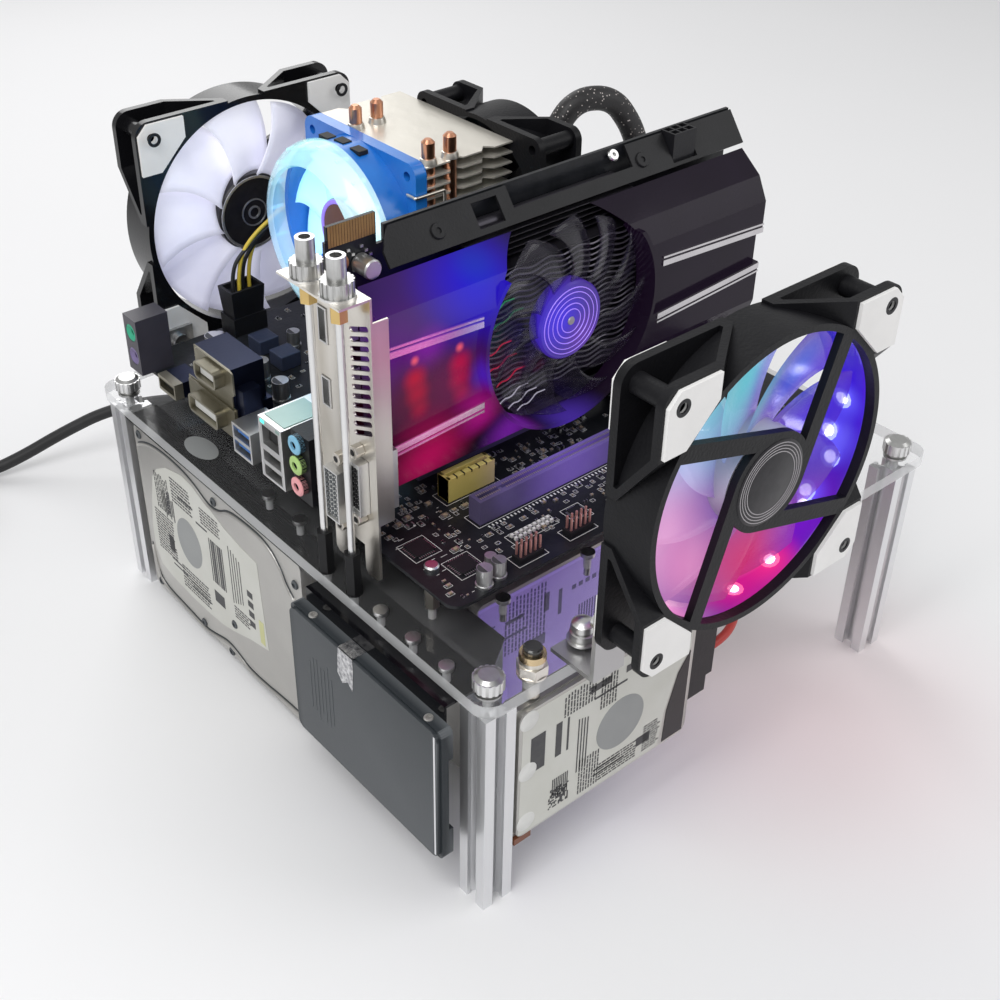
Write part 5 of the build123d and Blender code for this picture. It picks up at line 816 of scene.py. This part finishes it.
# Dark blocks of painted shade in the slot's notches
notches = [(on_board(46 + i * 4, SHORT_Y - 2.3, 10.9), (0.7, 2.6, 1.2)) for i in range(5)]
blocks("short_slot_notches", notches, painted_hole_shade, bevel=0)

# Chokes, and the dark half on top of each can
blocks("choke_shells", [(on_board(x, y, 3.9), (11, 11, 7.7)) for x, y in CHOKES], choke_navy, bevel=0.5)
for i, (x, y, radius, height) in enumerate(CANS):
    angles = [math.radians(100 + 12 * k) for k in range(14)]
    half = [(radius * 0.92 * math.cos(a), radius * 0.92 * math.sin(a)) for a in angles]
    plate(f"can_mark_{i}", half, axes(on_board(x, y, height), *UPWARD), 0.06, ink)

# Port inserts, as y, z, width and height on the face of the ports, and how far each kind lies back
PORT_X = -6.5
INSERTS = [
    (port_blue, 2, [(137.1, 4.2, 11.6, 2), (137.1, 11.4, 11.6, 2)]),
    # The dark kind is painted shade deep in the port openings
    (painted_hole_shade, 3.6, [(112.9, 22, 11.6, 9), (112.9, 4, 12.6, 5), (112.9, 11.6, 12.6, 5),
                      (204.5, 4, 12.6, 4.2)]),
    (socket_white, 2, [(163.1, 30, 14.6, 5.6), (168.3, 9, 21.6, 6.2)]),
    (tin, 2.8, [(112.9, 4, 10, 1.4), (112.9, 11.6, 10, 1.4)]),
]
for material, back, items in INSERTS:
    tongues = [(on_board(PORT_X + back, y, z), (0.8, wide, high)) for y, z, wide, high in items]
    blocks(f"port_inserts_{material.name}", tongues, material, bevel=0.05)
for name, z, material in (("green", 21, port_green), ("violet", 8.5, slot_violet)):
    turned(f"round_socket_{name}", [(2, -3), (4.3, -3), (4.35, -0.2), (3.7, 0.15), (2, -1.6)],
           axes(on_board(PORT_X, 232.6, z), *PORTWARD), material)
for material, z in ((jack_blue, 29), (jack_green, 19), (jack_pink, 8.5)):
    turned(f"jack_{material.name}", [(1.9, 0), (1.9, 0.9), (3.6, 0.9), (4.3, 0.4), (4.3, -2.3)],
           axes(on_board(PORT_X, 94.1, z), *PORTWARD), material)
# Tin with painted teal lamplight, on the network port's dim left lamp and on the port's top; the right lamp
# is a lit lamp
lit_tin = look("lit_tin", (0.34, 0.42, 0.4), 0.35, 0.7, (0.26, 0.33, 0.32), 50, 0.5, glow=(0.03, 0.3, 0.22),
               strength=0.2)
port_lamp = look("port_lamp", (0.1, 0.6, 0.5), 0.4, glow=(0.08, 0.8, 0.6), strength=1.2)
blocks("network_lamp", [(on_board(PORT_X + 0.2, 107, 28.4), (0.6, 3, 1.6)),
                        (on_board(6, 112.9, 30.15), (20, 15, 0.3))], lit_tin)
blocks("network_lamp_right", [(on_board(PORT_X + 0.1, 118.4, 28.4), (0.6, 3, 1.6))], port_lamp)

# Card: inserts of its two ports and the hex posts beside them
# The holes of the two card sockets and the bores of the hex posts are dark blocks of painted shade
far_holes = [(at(-4.2, 86.4 + 2.1 * j, 144.6 + 2.15 * k), (1, 1, 1)) for j in range(4) for k in range(10)]
near_holes = [(at(-1.8, 75.2 + 1.9 * j, 154.4 + 2.4 * k), (1, 1.2, 1.5)) for j in range(4) for k in range(8)]
blocks("card_socket_far", [(at(-3.4, 89.5, 154), (1, 7.4, 22.2))], socket_white)
blocks("card_socket_far_holes", far_holes, drive_slate, bevel=0)
blocks("card_socket_near", [(at(-1, 78, 163), (1, 7.4, 22.2))], socket_white)
blocks("card_socket_near_holes", near_holes, painted_hole_shade, bevel=0)
for i, (y, z) in enumerate(((89.5, 138.4), (89.5, 169.8), (78, 147.4), (78, 178.8))):
    place = axes(at(2.1, y, z), *PORTWARD)
    plate(f"card_hex_post_{i}", ellipse(0, 0, 2.9, 2.9, 6), place, 4.2, nickel, bevel=0.3)
    turned(f"card_hex_bore_{i}", [(0, 4.25), (1.4, 4.25)], place, painted_hole_shade)

# Card: gold contacts, a hole's ring, a lying can and small parts near its front edge
CARD_FACE = 104.24
gold_edge = look("gold_edge", (0.42, 0.26, 0.09), 0.35, 0.6, (0.3, 0.17, 0.06), 200, 0.6, 0.1, 600)
contacts = [(at(10.5 + 1.25 * i, CARD_FACE + 0.8, 253.7), (1.05, 1.9, 8.4)) for i in range(17)]
blocks("card_edge_contacts", contacts, gold_edge, bevel=0.05)
turned("card_hole_ring", [(2.1, 0), (2.1, 0.25), (3.4, 0.25), (3.5, 0)],
       axes(at(15.2, CARD_FACE, 241.8), *FRONTWARD), copper)
turned("card_lying_can", [(0, 0), (3.6, 0), (4, 0.5), (4, 8.4), (3.5, 9), (0, 9)],
       axes(at(23.5, CARD_FACE, 240), (0, 0, 1), (0, -1, 0)), tin)
parts = [(at(12.5 + 2 * i, 103.9, 246.4 - 2.2 * (i % 3)), (1.3, 0.7, 1)) for i in range(9)]
blocks("card_small_parts", parts, tin, bevel=0.05)
parts = [(at(13 + 4.2 * i, 103.8, 238 - 3 * (i % 2)), (2.6, 0.9, 1.8)) for i in range(4)]
blocks("card_small_blacks", parts, drive_slate, bevel=0.1)

# Card: screws of the slanted top frame
frame_up = Vector((0, 10, 12.5)).normalized()
frame_out = Vector((0, -12.5, 10)).normalized()
for i, x in enumerate((56, 166)):
    middle = at(x, 94.6, 238.5) + frame_up * 7.3 * MM + frame_out * 1.2 * MM
    turned(f"frame_screw_{i}", [(0, 0.5), (1.2, 0.5), (1.3, 1.1), (3, 1.1), (3.3, 0.6), (3.3, 0)],
           axes(middle, (1, 0, 0), frame_out), black_metal)
turned("frame_chrome_screw", [(0, 0.6), (0.8, 0.6), (0.9, 1.5), (2.2, 1.5), (2.7, 0.8), (2.7, 0)],
       axes(at(153.5, 103.4, 248.6), (1, 0, 0), frame_out), zinc)

# Cooler: collars where the pipes leave the top fin
for i, (x, y) in enumerate(((105, 166), (105, 219), (117, 166), (117, 219))):
    turned(f"pipe_collar_{i}", [(3.05, 0), (4.3, 0), (4, 1.2), (3.5, 2.6), (3.05, 2.8)],
           axes(at(x, y, 238), *UPWARD), nickel)

# Leads: the processor's sleeve with its four wires, and the drive's lead, on the solid model's own routes
GATHER = (104, 262, 191)
SLEEVE = [GATHER, (130, 262, 195), (165, 261, 196), (200, 257, 191), (232, 249, 178),
          (262, 238, 158), (281, 228, 130), (282, 218, 100), (272, 200, 73),
          (257, 170, 50), (247, 140, 37), (238, 112, 31), (224, 92, 29),
          (207, 81, 29), (194, 86, 29), (194, 103.7, 29)]
DRIVE_LEAD = [(124.9, -2.4, 65.425), (135, -2.4, 65.425), (150, 5, 64), (166, 18, 61),
              (182, 35, 59), (191, 56, 58), (188, 80, 60), (188, 103.7, 60)]
sleeve_cord = wire("processor_sleeve", [at(*p) for p in SLEEVE], 7, sheath)
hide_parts("supply_leads")
wire("drive_lead", [at(*p) for p in DRIVE_LEAD], 4, wire_red)
slope = (SLEEVE[1][2] - GATHER[2]) / (SLEEVE[1][0] - GATHER[0])


def before_sleeve(back, dy, dz):
    """A wire's place on the sleeve's line, some way before the sleeve starts."""
    return GATHER[0] - back, GATHER[1] + dy, GATHER[2] - back * slope + dz


for i, (dy, dz) in enumerate(((-1.2, -1.2), (-1.2, 1.2), (1.2, -1.2), (1.2, 1.2))):
    x = 57.1 + 3.6 * i
    y = 263 + dy
    route = [(x, y, 152), (x, y, 163), (x + 6, y - 0.3, 175 + 2 * dz), before_sleeve(14, dy, dz),
             before_sleeve(0.6, dy, dz)]
    wire(f"processor_wire_{i}", [at(*p) for p in route], 2, wire_yellow if i % 2 else sheath)


# Marks on labels, in each label's own millimetres
def label_bars(name, rows, place, material, raised=0.2):
    """Printed bars on a label, each as its middle, width and height."""
    mesh_data = bmesh.new()
    for x, y, wide, high in rows:
        matrix = moved(place, x, y, raised) @ sized(wide, high, 0.08)
        bmesh.ops.create_cube(mesh_data, size=1, matrix=matrix)
    return to_object(name, mesh_data, material)


def print_rows(left, low, right, high, pitch, upright=False):
    """Rows of short printed dashes that fill a rectangle of a label."""
    marks = []
    row = (left if upright else low) + pitch / 2
    while row < (right if upright else high):
        along = low if upright else left
        end = high if upright else right
        while along < end - 1.5:
            length = min(chance.uniform(0.7, 3.4), end - along)
            middle = along + length / 2
            dash = (row, middle, 0.45 * pitch, length) if upright else (middle, row, length, 0.45 * pitch)
            marks.append(dash)
            along += length + 0.55
        row += pitch
    return marks


def dot_square(left, low, side, cells):
    """A square patch of random printed dots."""
    step = side / cells
    return [(left + step * (i + 0.5), low + step * (j + 0.5), step * 0.92, step * 0.92)
            for i in range(cells) for j in range(cells) if chance.random() < 0.52]


# Outer drive: label, arched lid lines and screws
lid_place = axes(at(-6.4, 261.5, 0), *SIDEWARD)
LABEL = [(14.4, 78.8), (10, 62), (6.5, 45), (6.3, 30), (11, 22), (21, 19.8), (40, 18.4), (58, 18.8), (70, 20),
         (80, 22.5), (96, 28), (112.4, 32.1), (110.5, 60), (109.3, 82.3), (95.6, 83.5), (82, 86), (68, 91.4),
         (56, 95), (46, 96.1), (30, 92), (20, 86)]
plate("outer_drive_label", LABEL, lid_place, 0.15, label_paper)
plate("outer_drive_circle", ellipse(45.3, 55.4, 11.5, 14), lid_place, 0.22, grey_label)
rows = [(66 + 1.9 * i, 58, 0.7 + 0.5 * (i % 3), 26) for i in range(7)]
for area in ((12, 34, 30, 60, 1.7), (16, 62, 30, 84, 1.7, True), (33, 74, 52, 90, 1.9),
             (34, 22, 60, 36, 1.8), (60, 76, 78, 86, 1.7), (84, 34, 98, 42, 1.6)):
    rows += print_rows(*area)
rows += [(22 + 1.5 * i, 70 - (i % 4), 0.8, 10 + 3 * (i % 3)) for i in range(8)]
rows += [(26, 44, 5, 10), (30, 34, 12, 0.9), (32, 31, 14, 0.9), (50, 30, 16, 0.9), (52, 27, 18, 0.9),
         (46, 80, 14, 1), (70, 36, 9, 7), (60, 74, 10, 1)]
rows += [(84 + 2.2 * i, 60, 0.6, 34 - 2 * i) for i in range(5)]
rows += [(100, 40 + 6 * i, 4.6, 3.6) for i in range(4)]
label_bars("outer_drive_bars", rows, lid_place, ink)
note_yellow = look("note_yellow", (0.6, 0.6, 0.3), 0.5, second=(0.5, 0.5, 0.25))
label_bars("outer_drive_note", [(108, 40, 4, 14)], lid_place, note_yellow)
RIDGE_TOP = [(4, 92), (12, 97), (30, 99.6), (48, 99), (58, 96.5), (66, 93), (72, 91.4), (80, 93),
             (88, 98.5), (104, 100), (120, 99.6), (130, 92), (134, 84), (139, 80)]
RIDGE_LOW = [(3, 30), (5, 12), (14, 6.8), (30, 6), (46, 4.6), (54, 4.4), (64, 7.4), (74, 10.4), (84, 8.2),
             (92, 5.2), (108, 6), (122, 8), (140, 9)]
# The dark line beside each ridge is painted shade in its groove
for i, ridge in enumerate((RIDGE_TOP, RIDGE_LOW)):
    top = [moved(lid_place, x, y, 0.1).translation for x, y in ridge]
    groove = [moved(lid_place, x, y + 1.5).translation for x, y in ridge]
    wire(f"outer_drive_ridge_{i}", top, 1.8, drive_lid)
    wire(f"outer_drive_groove_{i}", groove, 0.8, drive_slate)
for i, (x, y) in enumerate(((6, 99), (75, 97), (141, 90), (7, 8), (76, 6.5), (50, 8), (141, 14), (82, 28))):
    turned(f"outer_drive_screw_{i}", [(0, 0.4), (0.9, 0.4), (1, 0.9), (1.9, 0.8), (2.3, 0.3), (2.3, 0)],
           moved(lid_place, x, y), drive_slate)
plate("deck_patch", ellipse(2, 208, 6.2, 11.5, 32), axes(at(0, 0, DECK_TOP), *UPWARD), 0.12, grey_label)

# Small drive: label, dark band, circle, marks and a tab
small_place = axes(at(7.9, -7.9, 30.5), *FRONTWARD)
plate("small_drive_label", [(2, 2), (82, 2), (84, 20), (90, 40), (97, 50), (97, 67.5), (3, 67.5)],
      small_place, 0.12, label_paper)
plate("small_drive_band", [(84.5, 2), (97, 2), (97, 48), (90.5, 38.5), (85.5, 20)], small_place, 0.2,
      gloss_black)
plate("small_drive_circle", ellipse(57, 31.5, 13.5, 13.5), small_place, 0.2, grey_label)
rows = [(20 + 1 * i, 17, 0.5, 11) for i in range(9)]
rows += [(33 + 1.6 * i, 33, 0.6, 30 - i) for i in range(4)]
rows += [(11, 44, 7.5, 19), (22, 44, 3.2, 18), (27, 44, 1, 18), (50, 12, 14, 0.8), (52, 9, 18, 0.8),
         (50, 54, 18, 1), (72, 12, 8, 5), (44, 60, 12, 3.6), (62, 60, 8, 3.6), (80, 60, 10, 0.9),
         (80, 57, 8, 0.9)]
for area in ((34, 4, 46, 24, 1.5, True), (46, 4, 68, 14, 1.5), (24, 54, 42, 66, 1.6, True),
             (72, 4, 82, 20, 1.4), (44, 46, 54, 64, 1.6, True)):
    rows += print_rows(*area)
rows += dot_square(18, 6, 11, 14)
label_bars("small_drive_bars", rows, small_place, ink)
for i, y in enumerate((8, 36.5, 64)):
    turned(f"small_drive_spot_{i}", [(0, 0.35), (4.4, 0.35), (4.8, 0.1)], moved(small_place, 6, y),
           white_print)
brown_tab = look("brown_tab", (0.2, 0.07, 0.03), 0.45, second=(0.14, 0.04, 0.02))
blocks("small_drive_tab", [(at(13, -6, 29), (9, 3, 3.4))], brown_tab)

# Inner drive, seen through the deck: a label whose violet tint and glow are painted lamplight
inner_place = axes(at(31, 45, 4.4), *FRONTWARD)
violet_lit_paper = look("violet_lit_label", (0.5, 0.42, 0.72), 0.45, 0, (0.4, 0.33, 0.66), 40, 0.5, 0.05, 500,
                    glow=(0.2, 0.12, 0.6), strength=0.35)
violet_lit_ink = look("violet_lit_ink", (0.16, 0.13, 0.36), 0.5, second=(0.12, 0.1, 0.3))
plate("inner_drive_label", [(2, 30), (118, 30), (122, 40), (122, 99), (2, 99)], inner_place, 0.15,
      violet_lit_paper)
rows = [(8, 60 + 2 * i, 6, 1) for i in range(14)]
rows += [(22, 84, 10, 2), (22, 76, 14, 1.2), (40, 84, 3, 10), (48, 80, 2, 14), (34, 64, 12, 6)]
rows += [(56 + 4 * i, 84, 2.4, 2.4) for i in range(5)]
rows += [(60 + 1.6 * i, 62, 0.8, 20) for i in range(12)]
for area in ((16, 66, 40, 96, 2, True), (80, 62, 96, 96, 1.8, True), (100, 70, 118, 96, 1.8)):
    rows += print_rows(*area)
label_bars("inner_drive_bars", rows, inner_place, violet_lit_ink)

# Solid state drive: bright edge, ribs, foil seal and screws, with a pale sheet behind it
ssd_place = axes(at(-20.8, 103.8, 29.2), *SIDEWARD)
edge_look = look("ssd_edge", (0.82, 0.82, 0.84), 0.35, 0.3, (0.7, 0.7, 0.72), 60, 0.4)
rib_look = look("ssd_ribs", (0.11, 0.125, 0.135), 0.38, 0.6, (0.09, 0.1, 0.11))
silver = look("silver_foil", (0.75, 0.75, 0.76), 0.25, 0.9, (0.2, 0.2, 0.22), 520, 0.9, 0.6, 260)
plate("ssd_bright_edge", [(96.9, 2.5), (97.8, 2.5), (97.8, 67.5), (96.9, 67.5)], ssd_place, 0.15, edge_look)
ribs = [(14 + 2.6 * i, 34 + 1.5 * (i % 2), 0.35, 26 + 4 * (i % 3)) for i in range(7)]
label_bars("ssd_ribs", ribs, ssd_place, rib_look, 0.1)
plate("ssd_seal", [(35, 56), (38, 52), (42, 55), (45, 52), (46, 62), (46, 69.8), (36, 69.8)], ssd_place, 0.2,
      silver)
blocks("ssd_seal_top", [(at(-17.3, 63, 99.15), (6.4, 10, 0.2))], silver, bevel=0)
for i, y in enumerate((14, 90)):
    turned(f"ssd_screw_{i}", [(0, 0.1), (0.9, 0.1), (1, 0.5), (1.8, 0.5), (2, 0)],
           axes(at(-17.3, y, 99.05), *UPWARD), drive_lid)
pale_sheet = look("pale_sheet", (0.62, 0.68, 0.7), 0.3, 0, (0.56, 0.62, 0.64), 30, 0.4)
plate("pale_sheet", [(9.5, 60), (28.5, 60), (28.5, 104.9), (9.5, 104.9)],
      axes(at(0, 25, 0), *FRONTWARD), 0.6, pale_sheet)

# Chrome cap nut on the front bracket's screw, and the button's brass ring
turned("front_cap_nut", [(6.2, 0), (6.2, 1), (5.2, 1.1), (5.2, 4.2), (4.4, 4.6), (4.4, 5.6), (5, 6),
                         (4.6, 8.2), (2.8, 9.8), (0, 10.4)], axes(at(44, -3.6, 116), *UPWARD), zinc)
button_ring = look("button_brass", (0.72, 0.56, 0.34), 0.22, 1, (0.55, 0.42, 0.26), 90, 0.5)
turned("button_brass_ring", [(3.95, 0), (4, 0.25), (5.1, 0.3), (5.35, -0.8), (5.35, -2.6)],
       axes(at(19.5, -2.3, 122.5), *UPWARD), button_ring)

# Floor with a faint pink patch of painted lamplight beside the front fan
floor_mesh = bmesh.new()
bmesh.ops.create_grid(floor_mesh, x_segments=1, y_segments=1, size=6)
floor_look = look("pale_floor", (0.86, 0.86, 0.87), 0.6, 0, (0.84, 0.84, 0.85), 3, 0.4)
tint(floor_look, faded(floor_look.node_tree, at(185, -20, 0), 150 * MM, 0.6), (0.86, 0.66, 0.68))
floor = to_object("floor", floor_mesh, floor_look, None)

# Lights and camera
world = bpy.data.worlds.new("studio")
bpy.context.scene.world = world
world.use_nodes = True
feed(world.node_tree, world.node_tree.nodes["Background"], {"Color": (1, 1, 1, 1), "Strength": 0.55})


def softbox(name, place, target, size, power):
    """A square area light aimed at a point."""
    light = bpy.data.lights.new(name, "AREA")
    light.shape = "SQUARE"
    light.size = size
    light.energy = power
    lamp = add_to_scene(name, light)
    lamp.location = place
    lamp.rotation_euler = (Vector(target) - Vector(place)).to_track_quat("-Z", "Y").to_euler()


softbox("key", (-0.7, -0.3, 1.1), (0, 0, 0.1), 0.7, 7.5)
softbox("fill", (0.9, -0.9, 0.9), (0, 0, 0.1), 0.9, 4)
softbox("back", (0.3, 1.1, 0.9), (0, 0, 0.15), 0.8, 5)

camera_data = bpy.data.cameras.new("view")
camera = add_to_scene("view", camera_data)
camera_data.sensor_width = 36
camera_data.lens = 50.404
camera_data.shift_x = 0.04182
camera_data.shift_y = -0.02434
camera_data.clip_start = 0.01
camera.location = (-0.371123, -0.421981, 0.473664)
camera.rotation_euler = (math.radians(55.0606), math.radians(0.019), math.radians(-39.3632))
bpy.context.scene.camera = camera
bpy.context.scene.view_settings.view_transform = "Standard"

# Mains lead: one line from the connector down to the floor, round the coil and on to the plug. The coil
# goes inwards on its lower layer, climbs, and comes out again on its upper layer.
COIL_CENTRE = (-93.3, 395)
MAINS_DIAMETER = 7
TURNS = 6
STEPS_A_TURN = 16
START_ANGLE = 62
END_ANGLE = 180
OUTER_RADIUS = 42
INNER_RADIUS = 28
LEAD_POINTS = [(85, 302, 43), (85, 332, 43), (66, 361, 41), (35, 383, 35),
               (8, 396.5, 22), (-14, 405, 11), (-34, 411.5, 4.6)]
TAIL_POINTS = [(-135.3, 381, 10.8), (-135.9, 367, 11), (-135.3, 352, 11)]
sweep = 360 * TURNS - (START_ANGLE - END_ANGLE) % 360
count = int(sweep / 360 * STEPS_A_TURN)
coil_points = []
for i in range(count + 1):
    share = i / count
    angle = math.radians(START_ANGLE + sweep * share)
    turn = share * TURNS
    inward = OUTER_RADIUS - MAINS_DIAMETER * min(turn, 2)
    outward = INNER_RADIUS + MAINS_DIAMETER * min(turn - TURNS / 2, 2)
    radius = inward if turn < TURNS / 2 else outward
    climb = min(max(turn - 2.6, 0) / 0.8, 1)
    coil_points.append((COIL_CENTRE[0] + radius * math.cos(angle), COIL_CENTRE[1] + radius * math.sin(angle),
                        MAINS_DIAMETER * (0.5 + climb)))
mains = wire("mains_lead", [at(*p) for p in LEAD_POINTS + coil_points + TAIL_POINTS], MAINS_DIAMETER, sheath)
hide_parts("mains_cord", "mains_coil")
